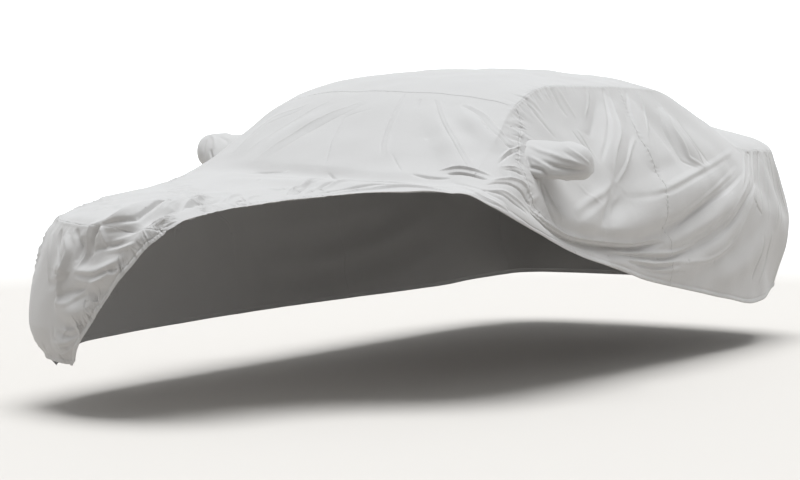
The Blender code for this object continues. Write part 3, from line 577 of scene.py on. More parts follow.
# %% What a row of the main folds says
MAIN_FOLDS = {
    "columns": ("name", "half_width", "height", "at_start", "at_end", "path"),
    "rows": [],
}
print("each main fold has its", MAIN_FOLDS["columns"])

# %% Main folds: the hem band and the swags along the left side
MAIN_FOLDS["rows"] += [
    ("band crease", 0.095, -0.030, 0.2, 0.0,
     ((0.90, -0.84, 0.91), (0.93, -0.64, 0.83), (0.94, -0.48, 0.73), (0.94, -0.15, 0.66),
      (0.94, 0.29, 0.63), (0.94, 0.72, 0.61))),
    ("hem band", 0.110, 0.022, 0.3, 0.2,
     ((0.91, -1.00, 0.87), (0.93, -0.84, 0.83), (0.94, -0.47, 0.67), (0.94, -0.07, 0.57),
      (0.94, 0.36, 0.49))),
    ("first swag", 0.130, 0.036, 0.3, 0.0,
     ((0.93, -0.55, 0.83), (0.94, -0.36, 0.74), (0.94, 0.10, 0.71), (0.94, 0.56, 0.77),
      (0.93, 1.00, 0.86), (0.88, 1.55, 0.97))),
    ("second swag", 0.110, 0.030, 0.2, 0.0,
     ((0.94, 0.10, 0.60), (0.94, 0.64, 0.62), (0.94, 1.01, 0.68), (0.94, 1.36, 0.77),
      (0.86, 1.86, 0.95))),
    ("third swag", 0.110, 0.028, 0.2, 0.0,
     ((0.94, 0.30, 0.52), (0.94, 0.76, 0.50), (0.94, 1.16, 0.56), (0.94, 1.49, 0.68),
      (0.90, 1.84, 0.85))),
    ("sill fold", 0.120, 0.022, 0.1, 0.3,
     ((0.94, 1.00, 0.40), (0.94, 1.40, 0.42), (0.94, 1.75, 0.50), (0.92, 2.05, 0.66))),
    ("hollow under first swag", 0.085, -0.018, 0.0, 0.0,
     ((0.94, 0.20, 0.65), (0.94, 0.70, 0.70), (0.94, 1.15, 0.80), (0.89, 1.60, 0.92))),
    ("hollow under second swag", 0.085, -0.016, 0.0, 0.0,
     ((0.94, 0.40, 0.56), (0.94, 0.90, 0.60), (0.94, 1.35, 0.68), (0.90, 1.75, 0.83))),
]
print(len(MAIN_FOLDS["rows"]), "main folds so far")

# %% Main folds: columns under the roof seam, and the rear corner
MAIN_FOLDS["rows"] += [
    ("bright column", 0.120, 0.030, 0.0, 0.0,
     ((0.64, 0.62, 1.34), (0.76, 0.42, 1.15), (0.89, 0.20, 0.96))),
    ("hollow beside it", 0.110, -0.024, 0.0, 0.0,
     ((0.64, 0.40, 1.34), (0.72, 0.28, 1.20), (0.84, 0.06, 1.04))),
    ("second column", 0.110, 0.024, 0.0, 0.0,
     ((0.65, 0.86, 1.32), (0.76, 0.72, 1.16), (0.88, 0.60, 0.97))),
    ("tail pillar fold", 0.120, 0.030, 0.0, 0.1,
     ((0.68, 1.10, 1.28), (0.78, 1.12, 1.12), (0.89, 1.18, 0.96))),
    ("tail pillar hollow", 0.110, -0.024, 0.0, 0.0,
     ((0.66, 0.92, 1.30), (0.78, 0.96, 1.12), (0.89, 1.02, 0.97))),
    ("window swag", 0.110, 0.028, 0.0, 0.0, ((0.89, 1.16, 0.95), (0.92, 0.62, 0.88), (0.93, 0.26, 0.83))),
    ("door fold", 0.100, 0.026, 0.0, 0.0, ((0.90, 0.14, 0.92), (0.93, -0.10, 0.84), (0.94, -0.33, 0.78))),
    ("second door fold", 0.095, -0.022, 0.0, 0.0,
     ((0.91, 0.24, 0.90), (0.93, 0.06, 0.82), (0.94, -0.08, 0.74))),
    ("rear corner fold", 0.100, 0.022, 0.2, 0.0,
     ((0.84, 2.05, 0.99), (0.90, 2.06, 0.80), (0.91, 2.02, 0.60))),
    ("rear corner hollow", 0.090, -0.020, 0.2, 0.0,
     ((0.86, 2.22, 0.97), (0.89, 2.24, 0.78), (0.90, 2.20, 0.60))),
]
print(len(MAIN_FOLDS["rows"]), "main folds so far")

# %% Main folds: the front slope and the crease at its foot
MAIN_FOLDS["rows"] += [
    ("windscreen fold", 0.100, 0.018, 0.0, 0.0,
     ((0.30, -0.56, 1.32), (0.50, -0.76, 1.20), (0.72, -1.00, 1.05))),
    ("pillar fold", 0.090, 0.018, 0.0, 0.3,
     ((0.42, -0.52, 1.32), (0.58, -0.62, 1.24), (0.72, -0.66, 1.13))),
    ("right windscreen fold", 0.100, 0.016, 0.0, 0.0,
     ((-0.11, -0.57, 1.33), (-0.36, -0.80, 1.18), (-0.42, -1.02, 1.04))),
    ("far windscreen fold", 0.100, 0.016, 0.0, 0.0,
     ((-0.46, -0.44, 1.34), (-0.54, -0.68, 1.21), (-0.60, -0.92, 1.08))),
    ("scuttle crease", 0.085, -0.022, 0.2, 0.4,
     ((-0.62, -0.98, 1.02), (-0.20, -1.06, 1.02), (0.30, -1.10, 1.01), (0.62, -1.08, 1.02),
      (0.84, -0.98, 0.98))),
    ("roll before the scuttle", 0.085, 0.018, 0.0, 0.2,
     ((-0.50, -1.20, 0.99), (0.05, -1.28, 0.98), (0.45, -1.26, 0.98), (0.80, -1.14, 0.97))),
]
print(len(MAIN_FOLDS["rows"]), "main folds so far")

# %% Main folds: the overhanging fold and what hangs below it
MAIN_FOLDS["rows"] += [
    ("overhanging fold", 0.085, 0.042, 0.2, 0.0,
     ((-0.33, -2.33, 0.80), (-0.25, -2.30, 0.84), (-0.17, -2.20, 0.88), (-0.13, -2.00, 0.91),
      (-0.08, -1.72, 0.93))),
    ("hollow under it", 0.075, -0.034, 0.2, 0.0,
     ((-0.27, -2.34, 0.74), (-0.15, -2.33, 0.81), (-0.06, -2.22, 0.88), (-0.02, -2.02, 0.91),
      (0.02, -1.78, 0.93))),
    ("hem fold", 0.065, 0.022, 0.2, 0.2,
     ((-0.16, -2.35, 0.74), (-0.02, -2.32, 0.82), (0.05, -2.20, 0.88), (0.07, -2.00, 0.91),
      (0.14, -1.80, 0.92))),
    ("nose upright hollow", 0.075, -0.026, 0.2, 0.0,
     ((-0.42, -2.31, 0.79), (-0.38, -2.33, 0.72), (-0.36, -2.34, 0.64))),
    ("nose upright fold", 0.080, 0.020, 0.2, 0.0,
     ((-0.52, -2.28, 0.80), (-0.51, -2.30, 0.68), (-0.55, -2.29, 0.54))),
    ("upper nose fold", 0.075, 0.028, 0.0, 0.2,
     ((-0.46, -2.31, 0.62), (-0.32, -2.34, 0.61), (-0.16, -2.36, 0.66))),
    ("lower nose fold", 0.075, 0.026, 0.0, 0.2,
     ((-0.56, -2.29, 0.48), (-0.42, -2.33, 0.46), (-0.28, -2.35, 0.51))),
    ("foot fold", 0.070, 0.018, 0.0, 0.2,
     ((-0.60, -2.27, 0.34), (-0.52, -2.30, 0.31), (-0.42, -2.33, 0.34))),
]
print(len(MAIN_FOLDS["rows"]), "main folds so far")

# %% Main folds: the side and the tail that the photograph hides
MAIN_FOLDS["rows"] += [
    ("right swag", 0.130, 0.028, 0.0, 0.0,
     ((-0.94, -0.60, 0.62), (-0.94, 0.20, 0.56), (-0.94, 1.00, 0.62), (-0.90, 1.70, 0.84))),
    ("right lower swag", 0.120, 0.022, 0.0, 0.0,
     ((-0.94, -0.40, 0.44), (-0.94, 0.40, 0.40), (-0.94, 1.20, 0.46), (-0.92, 1.90, 0.62))),
    ("right column", 0.120, 0.022, 0.0, 0.0,
     ((-0.64, 0.50, 1.34), (-0.76, 0.40, 1.15), (-0.89, 0.30, 0.95))),
    ("tail swag", 0.100, 0.024, 0.0, 0.0,
     ((0.72, 2.50, 0.86), (0.30, 2.54, 0.70), (-0.30, 2.54, 0.68), (-0.72, 2.50, 0.84))),
    ("tail lower swag", 0.090, 0.018, 0.0, 0.0,
     ((0.60, 2.52, 0.56), (0.10, 2.55, 0.46), (-0.50, 2.53, 0.52))),
]
print(len(MAIN_FOLDS["rows"]), "main folds in all")

# %% [markdown]
# ## Fine folds at the front
# The fine folds give their lines as pixels of the photograph. Each has its own reach to the left and to
# the right of its line and says how crisp its edge is, because real cloth is steep on one side of a fold
# where it hangs over itself. They could be a bump in the material, but a bump has no outline and casts no
# shadow, so they are pressed into the mesh. The front comes first: what hangs from the nose seam, and the
# puffs above the elastic.

# %% What a row of the fine folds says
CREASES = {
    "columns": ("name", "left", "right", "height", "crisp", "at_start", "at_end", "path"),
    "rows": [],
}
print("each fine fold has its", CREASES["columns"])

# %% Fine folds: uprights that hang from the nose seam
CREASES["rows"] += [
    ("first upright trough", 0.020, 0.022, -0.011, 0.2, 0.6, 0.1,
     ((60, 231), (58, 242), (61, 255), (66, 267))),
    ("edge upright ridge", 0.025, 0.020, 0.012, 0.2, 0.5, 0.1, ((51, 234), (49, 258), (49, 281))),
    ("long upright ridge", 0.030, 0.022, 0.018, 0.3, 0.5, 0.2,
     ((66, 236), (70, 251), (67, 264), (61, 282), (58, 304))),
    ("second upright trough", 0.022, 0.020, -0.015, 0.3, 0.7, 0.0, ((76, 231), (78, 248), (76, 262))),
    ("pocket edge", 0.022, 0.016, 0.018, 0.5, 0.6, 0.1, ((92, 227), (87, 236), (84, 251), (79, 267))),
    ("deep pocket", 0.022, 0.024, -0.024, 0.4, 0.5, 0.1, ((101, 226), (93, 237), (90, 252))),
    ("side ridge", 0.020, 0.020, 0.013, 0.4, 0.4, 0.0, ((102, 227), (104, 240), (106, 249))),
    ("soft patch", 0.030, 0.030, -0.009, 0.0, 0.2, 0.2, ((49, 285), (62, 283))),
]
print(len(CREASES["rows"]), "fine folds so far")

# %% Fine folds: swags that run to the slanting hem
CREASES["rows"] += [
    ("top swag trough", 0.022, 0.020, -0.011, 0.3, 0.3, 0.1,
     ((87, 256), (99, 248), (120, 244), (135, 241))),
    ("top swag ridge", 0.018, 0.022, 0.009, 0.3, 0.3, 0.1, ((105, 251), (123, 248), (138, 243))),
    ("middle swag ridge", 0.025, 0.023, 0.010, 0.1, 0.5, 0.5,
     ((77, 270), (90, 271), (111, 265), (123, 258))),
    ("middle swag trough", 0.021, 0.028, -0.009, 0.1, 0.5, 0.5,
     ((79, 274), (94, 277), (108, 272), (118, 266))),
    ("swag under it", 0.020, 0.020, 0.009, 0.3, 0.0, 0.3, ((92, 283), (101, 281), (112, 273))),
    ("low swag trough", 0.025, 0.025, -0.008, 0.1, 0.5, 0.5, ((58, 297), (76, 290), (93, 288))),
    ("low swag ridge", 0.023, 0.025, 0.010, 0.1, 0.5, 0.5,
     ((57, 304), (68, 303), (76, 298), (87, 291), (100, 284))),
    ("sharp foot trough", 0.018, 0.018, -0.006, 0.7, 0.3, 0.5, ((53, 328), (55, 338), (62, 342))),
    ("foot ridge", 0.021, 0.023, 0.007, 0.4, 0.3, 0.5, ((62, 330), (71, 331), (80, 326))),
    ("foot trough", 0.021, 0.021, -0.006, 0.4, 0.3, 0.5, ((58, 333), (70, 337), (79, 332))),
    ("lower foot ridge", 0.017, 0.019, 0.006, 0.4, 0.3, 0.5, ((58, 341), (67, 342), (75, 338))),
    ("lower foot trough", 0.017, 0.017, -0.006, 0.4, 0.3, 0.5, ((57, 345), (67, 346), (75, 342))),
    ("last foot ridge", 0.014, 0.014, 0.006, 0.4, 0.3, 0.5, ((56, 352), (64, 353), (71, 350))),
]
print(len(CREASES["rows"]), "fine folds so far")

# %% Fine folds: the overhanging crease and what hangs from it
CREASES["rows"] += [
    ("overhang edge", 0.045, 0.045, 0.024, 0.5, 0.3, 0.0,
     ((90, 227), (102, 224), (120, 220), (136, 215), (150, 211), (164, 206), (182, 202), (204, 197),
      (230, 193))),
    ("overhang shade", 0.009, 0.026, -0.024, 0.5, 0.3, 0.0,
     ((98, 228), (121, 223), (137, 218), (150, 214), (164, 209), (182, 205), (206, 200))),
    ("swag from the knot", 0.022, 0.020, 0.014, 0.4, 0.2, 0.0,
     ((141, 224), (157, 220), (173, 214), (188, 207), (205, 202), (222, 199))),
    ("swag shade", 0.014, 0.020, -0.014, 0.4, 0.2, 0.0,
     ((146, 226), (160, 223), (176, 217), (190, 210), (207, 205))),
    ("hem swag", 0.016, 0.018, 0.011, 0.3, 0.3, 0.0, ((150, 226), (166, 222), (184, 214), (204, 208))),
    ("facet under the crease", 0.028, 0.020, -0.010, 0.3, 0.3, 0.1, ((106, 233), (122, 229), (136, 228))),
    ("facet ridge", 0.024, 0.022, 0.009, 0.3, 0.3, 0.1, ((112, 240), (128, 235), (146, 231))),
]
print(len(CREASES["rows"]), "fine folds so far")

# %% Fine folds: the panel above that crease
CREASES["rows"] += [
    ("soft bonnet hollow", 0.060, 0.050, -0.008, 0.0, 0.2, 0.0,
     ((112, 218), (150, 204), (185, 193), (220, 189))),
    ("bonnet dimple", 0.030, 0.030, -0.003, 0.0, 0.0, 0.0, ((172, 190), (186, 193), (200, 198))),
    ("bonnet line", 0.016, 0.020, 0.004, 0.3, 0.1, 0.0, ((140, 206), (172, 200), (201, 196))),
]
print(len(CREASES["rows"]), "fine folds so far")

# %% Fine folds: puffs and swags above the front elastic
CREASES["rows"] += [
    ("first puff", 0.024, 0.022, 0.008, 0.2, 0.3, 0.2, ((200, 204), (211, 199), (222, 197))),
    ("first puff hollow", 0.018, 0.021, -0.006, 0.3, 0.3, 0.2, ((205, 206), (216, 202), (226, 199))),
    ("second puff", 0.018, 0.016, 0.013, 0.2, 0.3, 0.2, ((226, 201), (234, 197), (241, 195))),
    ("second puff hollow", 0.012, 0.014, -0.013, 0.4, 0.3, 0.1, ((233, 203), (240, 200), (246, 203))),
    ("third puff", 0.014, 0.014, 0.010, 0.2, 0.3, 0.2, ((246, 200), (254, 197), (262, 196))),
    ("steep swag", 0.016, 0.018, -0.014, 0.4, 0.5, 0.1, ((295, 195), (300, 190), (309, 186), (328, 183))),
    ("steep swag ridge", 0.016, 0.014, 0.013, 0.4, 0.4, 0.1,
     ((288, 195), (297, 188), (312, 184), (332, 181))),
    ("second steep swag", 0.016, 0.018, -0.014, 0.4, 0.5, 0.0,
     ((307, 194), (319, 188), (345, 184), (373, 182), (402, 182))),
    ("third swag", 0.018, 0.018, 0.013, 0.4, 0.4, 0.2,
     ((314, 192), (332, 187), (360, 184), (395, 184), (425, 184))),
    ("long low swag", 0.014, 0.020, -0.016, 0.5, 0.5, 0.2,
     ((319, 193), (335, 190), (383, 187), (420, 186), (448, 188))),
    ("hem roll", 0.018, 0.014, 0.013, 0.3, 0.3, 0.3, ((335, 193), (370, 190), (410, 189), (445, 191))),
    ("bonnet nick", 0.010, 0.010, -0.005, 0.5, 0.0, 0.0, ((256, 183), (262, 182))),
    ("bonnet swag", 0.014, 0.014, 0.006, 0.4, 0.0, 0.0, ((267, 188), (280, 190), (293, 187))),
    ("small pleat", 0.008, 0.010, -0.008, 0.5, 0.3, 0.0, ((241, 197), (244, 200), (246, 203))),
]
print(len(CREASES["rows"]), "fine folds so far")

# %% [markdown]
# ## Fine folds on the front slope
# Where the cover lies on a long slope it is drawn tight in long fine creases, and it crumples at the foot
# of the slope and before its gathered seam. One broad fold could stand for them all, but the light picks
# out each one, so each has a row of its own.

# %% Fine folds: long fine creases down the slope
CREASES["rows"] += [
    ("far crease", 0.009, 0.010, 0.003, 0.6, 0.6, 0.2, ((309, 104), (274, 121), (252, 138), (234, 153))),
    ("far trough", 0.009, 0.010, -0.003, 0.6, 0.6, 0.2, ((303, 109), (270, 127), (248, 145))),
    ("next crease", 0.009, 0.010, 0.003, 0.6, 0.5, 0.1, ((328, 102), (290, 123), (262, 141), (240, 158))),
    ("middle crease", 0.009, 0.010, 0.003, 0.6, 0.5, 0.1,
     ((360, 102), (322, 119), (285, 141), (254, 161))),
    ("middle trough", 0.009, 0.010, -0.003, 0.6, 0.4, 0.1,
     ((366, 104), (330, 121), (296, 140), (268, 158))),
    ("steep crease", 0.009, 0.010, -0.003, 0.6, 0.4, 0.4,
     ((371, 110), (344, 119), (333, 138), (325, 165))),
    ("upright crease", 0.010, 0.010, -0.004, 0.4, 0.5, 0.2,
     ((404, 94), (391, 115), (382, 139), (381, 154))),
    ("upright ridge", 0.012, 0.010, 0.003, 0.3, 0.5, 0.2,
     ((407, 95), (397, 114), (388, 139), (387, 155))),
    ("short crease", 0.012, 0.012, -0.005, 0.4, 0.6, 0.1, ((420, 99), (416, 107))),
    ("foot crease", 0.009, 0.010, -0.003, 0.6, 0.1, 0.4, ((391, 152), (396, 162), (401, 171))),
    ("long crease", 0.009, 0.012, -0.005, 0.6, 0.6, 0.3,
     ((435, 100), (441, 121), (452, 143), (467, 167))),
    ("long ridge", 0.012, 0.009, 0.004, 0.5, 0.6, 0.3, ((439, 100), (446, 121), (457, 142), (473, 166))),
    ("soft fold", 0.018, 0.014, -0.009, 0.4, 0.4, 0.3,
     ((463, 106), (479, 117), (494, 134), (506, 146), (516, 149))),
    ("soft fold ridge", 0.014, 0.018, 0.008, 0.4, 0.4, 0.3,
     ((468, 105), (486, 116), (500, 131), (512, 143))),
]
print(len(CREASES["rows"]), "fine folds so far")

# %% Fine folds: the foot of the slope
CREASES["rows"] += [
    ("foot dent", 0.012, 0.014, -0.006, 0.3, 0.1, 0.0, ((248, 172), (259, 170), (284, 170))),
    ("foot dent ridge", 0.012, 0.012, 0.006, 0.3, 0.0, 0.3, ((262, 172), (276, 172), (288, 169))),
    ("foot nick", 0.012, 0.012, -0.007, 0.5, 0.2, 0.1, ((328, 171), (333, 174), (338, 177))),
    ("long foot crease", 0.012, 0.016, -0.010, 0.5, 0.1, 0.2, ((412, 174), (428, 177), (450, 178))),
    ("lens crease", 0.010, 0.020, -0.020, 0.5, 0.2, 0.2, ((447, 174), (463, 173), (487, 179))),
    ("lens ridge", 0.022, 0.009, 0.014, 0.6, 0.2, 0.2, ((440, 171), (463, 169), (490, 175))),
]
print(len(CREASES["rows"]), "fine folds so far")

# %% Fine folds: crumples before the gathered seam
CREASES["rows"] += [
    ("pillar crumple one", 0.011, 0.011, -0.006, 0.7, 0.2, 0.5, ((498, 164), (508, 156), (519, 151))),
    ("pillar crumple two", 0.011, 0.011, 0.007, 0.7, 0.2, 0.5, ((500, 158), (509, 151), (519, 147))),
    ("pillar crumple three", 0.011, 0.011, -0.006, 0.7, 0.2, 0.6, ((504, 170), (514, 171), (522, 175))),
    ("pillar crumple four", 0.011, 0.011, 0.006, 0.7, 0.3, 0.6, ((500, 167), (512, 167), (521, 170))),
    ("pillar crumple five", 0.012, 0.014, 0.010, 0.5, 0.1, 0.5,
     ((492, 180), (508, 178), (524, 184), (533, 198))),
    ("pillar crumple six", 0.012, 0.012, -0.010, 0.5, 0.1, 0.5,
     ((488, 184), (506, 183), (520, 190), (531, 204))),
    ("low fan one", 0.014, 0.014, 0.008, 0.4, 0.1, 0.5, ((489, 189), (505, 192), (520, 202), (530, 212))),
    ("low fan two", 0.012, 0.014, -0.008, 0.4, 0.1, 0.4,
     ((480, 188), (498, 193), (513, 203), (524, 213))),
    ("wing crease", 0.016, 0.018, -0.007, 0.3, 0.1, 0.2,
     ((450, 180), (470, 184), (490, 193), (506, 205))),
    ("wing ridge", 0.018, 0.018, 0.007, 0.3, 0.1, 0.2, ((455, 186), (475, 192), (495, 203), (512, 216))),
]
print(len(CREASES["rows"]), "fine folds so far")

# %% [markdown]
# ## Fine folds on the side
# The side hangs from the roof seam in columns and is drawn to the rear corner in swags, with a roll over
# the band of the hem. A few waves repeated along the side would be quicker to write, but real swags run
# to the points that pull them, so each follows its own pixels.

# %% Fine folds: above the pocket, under the roof seam
CREASES["rows"] += [
    ("window crease", 0.018, 0.018, -0.004, 0.3, 0.4, 0.1, ((529, 107), (541, 122), (555, 138))),
    ("window trough", 0.022, 0.022, -0.006, 0.2, 0.3, 0.0, ((552, 91), (560, 105), (568, 117))),
    ("window ridge", 0.022, 0.022, 0.005, 0.2, 0.4, 0.0, ((558, 90), (567, 104), (577, 118))),
    ("crease above the pocket", 0.014, 0.012, 0.007, 0.5, 0.1, 0.4, ((577, 129), (587, 144), (595, 157))),
    ("trough above the pocket", 0.014, 0.014, -0.006, 0.4, 0.1, 0.3,
     ((573, 131), (582, 143), (589, 151))),
]
print(len(CREASES["rows"]), "fine folds so far")

# %% Fine folds: columns that hang from the roof seam
CREASES["rows"] += [
    ("bow", 0.026, 0.031, -0.005, 0.3, 0.2, 0.2, ((596, 100), (596, 122), (591, 133), (580, 131))),
    ("column edge", 0.014, 0.022, 0.008, 0.4, 0.4, 0.3,
     ((609, 90), (613, 110), (616, 136), (614, 153), (614, 178))),
    ("column shade", 0.016, 0.020, -0.008, 0.3, 0.4, 0.1,
     ((604, 90), (606, 112), (607, 140), (603, 160))),
    ("thin column", 0.016, 0.014, 0.005, 0.3, 0.5, 0.1, ((588, 89), (589, 104), (586, 118))),
    ("column right of it", 0.018, 0.020, -0.007, 0.2, 0.4, 0.1, ((626, 92), (628, 112), (634, 128))),
    ("inner edge", 0.020, 0.022, 0.010, 0.3, 0.1, 0.2, ((635, 138), (629, 154), (623, 171), (617, 184))),
    ("column by the seam", 0.020, 0.018, 0.008, 0.2, 0.4, 0.1, ((638, 91), (645, 109), (645, 138))),
]
print(len(CREASES["rows"]), "fine folds so far")

# %% Fine folds: diagonals behind the columns
CREASES["rows"] += [
    ("long diagonal", 0.018, 0.022, 0.008, 0.4, 0.1, 0.3,
     ((660, 104), (672, 132), (687, 156), (701, 168))),
    ("long diagonal shade", 0.016, 0.018, -0.007, 0.4, 0.1, 0.2,
     ((656, 106), (667, 132), (682, 158), (695, 169))),
    ("second diagonal", 0.016, 0.018, 0.007, 0.4, 0.1, 0.3, ((670, 118), (685, 140), (702, 165))),
    ("second diagonal shade", 0.016, 0.018, -0.006, 0.3, 0.1, 0.3, ((676, 117), (692, 140), (708, 163))),
]
print(len(CREASES["rows"]), "fine folds so far")

# %% Fine folds: swags along the side
CREASES["rows"] += [
    ("swag one ridge", 0.026, 0.029, 0.008, 0.1, 0.1, 0.1,
     ((733, 150), (709, 166), (688, 176), (662, 189), (648, 194))),
    ("swag one shade", 0.023, 0.029, -0.006, 0.1, 0.1, 0.1,
     ((726, 158), (706, 171), (686, 182), (664, 193), (644, 198), (628, 197), (622, 190))),
    ("swag two ridge", 0.022, 0.022, 0.008, 0.2, 0.1, 0.1,
     ((736, 168), (720, 184), (700, 200), (673, 219), (655, 226))),
    ("swag two shade", 0.020, 0.022, -0.008, 0.2, 0.1, 0.1,
     ((742, 172), (726, 190), (704, 206), (678, 225))),
    ("swag three ridge", 0.020, 0.022, 0.008, 0.3, 0.1, 0.1,
     ((750, 172), (740, 194), (727, 214), (711, 230), (690, 242), (672, 246))),
    ("swag three shade", 0.020, 0.022, -0.008, 0.3, 0.1, 0.1,
     ((755, 180), (745, 200), (732, 220), (716, 236), (694, 249))),
    ("swag four ridge", 0.018, 0.022, 0.007, 0.3, 0.1, 0.1,
     ((753, 186), (747, 210), (731, 242), (702, 260), (674, 262))),
    ("v fold one", 0.028, 0.031, -0.008, 0.1, 0.2, 0.0, ((616, 185), (608, 195), (593, 205), (574, 220))),
    ("v fold one ridge", 0.025, 0.025, 0.005, 0.1, 0.2, 0.0,
     ((612, 184), (602, 192), (588, 200), (572, 212))),
    ("v fold two", 0.025, 0.028, -0.007, 0.1, 0.2, 0.0, ((613, 195), (606, 211), (598, 227))),
    ("v fold two ridge", 0.022, 0.028, 0.005, 0.1, 0.2, 0.0, ((622, 192), (613, 208), (606, 226))),
    ("fold under the pocket", 0.016, 0.018, 0.002, 0.3, 0.3, 0.1, ((578, 184), (590, 198), (600, 206))),
    ("strip edge", 0.014, 0.018, -0.010, 0.4, 0.4, 0.1, ((540, 182), (546, 202), (556, 226))),
    ("strip ridge", 0.014, 0.014, 0.010, 0.3, 0.4, 0.1, ((545, 186), (552, 204), (561, 222))),
]
print(len(CREASES["rows"]), "fine folds so far")

# %% Fine folds: the roll over the hem band
CREASES["rows"] += [
    ("band edge", 0.034, 0.010, 0.020, 0.6, 0.3, 0.1,
     ((531, 207), (541, 217), (553, 227), (565, 235), (597, 241), (636, 243), (660, 238))),
    ("band shade", 0.008, 0.028, -0.026, 0.6, 0.3, 0.1,
     ((530, 211), (540, 221), (553, 232), (565, 239), (597, 246), (637, 248), (662, 242))),
    ("under swag one", 0.016, 0.022, -0.013, 0.5, 0.1, 0.2,
     ((610, 254), (640, 257), (668, 257), (690, 250))),
    ("under swag one ridge", 0.020, 0.014, 0.012, 0.4, 0.1, 0.2,
     ((606, 250), (640, 253), (670, 252), (694, 244))),
    ("under swag two", 0.014, 0.018, -0.011, 0.5, 0.1, 0.1, ((626, 262), (656, 267), (676, 265))),
    ("under swag two ridge", 0.016, 0.014, 0.009, 0.4, 0.1, 0.1, ((624, 259), (656, 263), (680, 260))),
    ("under swag three", 0.012, 0.016, -0.007, 0.4, 0.1, 0.1, ((640, 270), (660, 273), (682, 272))),
    ("band line", 0.012, 0.014, -0.006, 0.4, 0.1, 0.1, ((556, 247), (580, 255), (606, 262), (634, 270))),
]
print(len(CREASES["rows"]), "fine folds so far")

# %% Fine folds: the rear corner
CREASES["rows"] += [
    ("corner upright one", 0.012, 0.012, 0.005, 0.3, 0.8, 0.0, ((744, 153), (743, 172), (739, 190))),
    ("corner upright two", 0.010, 0.010, -0.005, 0.3, 0.8, 0.0, ((748, 153), (748, 176), (746, 200))),
    ("corner upright three", 0.012, 0.010, 0.006, 0.3, 0.8, 0.1, ((752, 153), (753, 180), (754, 212))),
    ("corner upright four", 0.010, 0.012, -0.006, 0.3, 0.8, 0.1, ((757, 153), (759, 182), (761, 216))),
    ("corner upright five", 0.010, 0.010, 0.006, 0.3, 0.8, 0.1, ((761, 153), (765, 184), (768, 220))),
    ("corner upright six", 0.010, 0.010, -0.005, 0.3, 0.8, 0.1, ((765, 153), (771, 186), (774, 222))),
    ("corner upright seven", 0.010, 0.010, 0.005, 0.3, 0.8, 0.1, ((768, 154), (776, 190), (779, 230))),
    ("corner crease", 0.014, 0.014, -0.006, 0.3, 0.1, 0.1, ((752, 198), (757, 206), (762, 214))),
    ("low corner crease", 0.018, 0.018, -0.006, 0.2, 0.1, 0.2, ((762, 236), (758, 258), (752, 280))),
    ("low corner ridge", 0.020, 0.020, 0.006, 0.2, 0.1, 0.2, ((770, 232), (767, 256), (760, 282))),
]
print(len(CREASES["rows"]), "fine folds in all")

# %% A smooth line through a few places
FOLD_POINTS = 33


def smooth_line(places):
    """Close points on a smooth curve through a few places."""
    places = np.asarray(places, float)
    knots, along = np.linspace(0.0, 1.0, len(places)), np.linspace(0.0, 1.0, FOLD_POINTS)
    return np.stack([between(knots, places[:, axis], along, level_ends=False) for axis in range(3)], axis=1)


print("a line over three places:", smooth_line(((0, 0, 0), (1, 0, 1), (2, 0, 0))).shape)

# %% [markdown]
# ## Pressing folds into the cloth
# A fold lifts each point near it along the cloth's outward direction. How much depends on how far to the
# side of the line the point lies, so a fold can be wide on one side and steep on the other, as cloth is
# where it hangs over itself. A Displace modifier with a painted picture could do this too, but the
# picture would need very many pixels for so fine a crease, so each lift is worked out from the line
# itself.

# %% Where a point lies beside a line
def beside(points, directions, line):
    """How far points lie to the left (+) or right (-) of a line, and the run along it."""
    start, step = line[:-1], np.diff(line, axis=0)
    length = np.linalg.norm(step, axis=1)
    run = np.concatenate([[0.0], np.cumsum(length)])
    apart = points[:, None] - start[None]
    along = np.clip((apart * step).sum(axis=-1) / length**2, 0.0, 1.0)
    offset = apart - along[..., None] * step
    offset -= (offset * directions[:, None]).sum(axis=-1, keepdims=True) * directions[:, None]
    distance = np.linalg.norm(offset, axis=-1)
    nearest = distance.argmin(axis=1)
    row = np.arange(len(points))
    turned = np.cross(step[nearest], offset[row, nearest])
    hand = np.where((turned * directions).sum(axis=-1) < 0, -1.0, 1.0)
    return hand * distance[row, nearest], run[nearest] + along[row, nearest] * length[nearest], run[-1]


TRIAL_POINT, UP = np.array([[0.5, 0.2, 0.0]]), np.array([[0.0, 0.0, 1.0]])
TRIAL_LINE = np.array([[0.0, 0.0, 0.0], [1.0, 0.0, 0.0]])
print("a point 0.2 to the left, half way along:", *beside(TRIAL_POINT, UP, TRIAL_LINE))

# %% How a fold lifts the cloth
FACES_ACROSS = 3  # faces over a fold's narrower side
MAIN_EVENNESS, FINE_EVENNESS = 1.0, 0.6  # how fast a fold swells along its line: less is faster


class Fold:
    """A trough or a ridge along a line. A fine one is held down near a hem."""

    def __init__(self, line, left, right, height, crisp, at_start, at_end, evenness, fine=True):
        self.line, self.left, self.right, self.height = line, left, right, height
        lopsided = min(left, right) / max(left, right)
        self.crisp, self.evenness, self.fine = crisp, evenness, fine
        self.at_start, self.at_end = at_start * lopsided, at_end * lopsided
        self.reach = max(left, right)
        self.cell = min(left, right) / FACES_ACROSS

    def lift(self, points, directions):
        across, run, length = beside(points, directions, self.line)
        share = run / length
        near = np.clip(np.abs(across) / np.where(across > 0, self.left, self.right), 0.0, 1.0)
        soft = 0.5 + 0.5 * np.cos(np.pi * near)
        profile = soft + self.crisp * ((1 - near) ** 2 - soft)
        fade = np.where(share < 0.5, self.at_start, self.at_end)
        return self.height * profile * (fade + (1 - fade) * np.sin(np.pi * share) ** self.evenness)


def crease(row, surface):
    """The fold of one row of fine folds, or nothing where its pixels miss the surface."""
    _, left, right, height, crisp, at_start, at_end, path = row
    places = on_cloth(path, surface)
    if len(places) < 2:
        return []
    return [Fold(smooth_line(places), left, right, height, crisp, at_start, at_end, FINE_EVENNESS)]


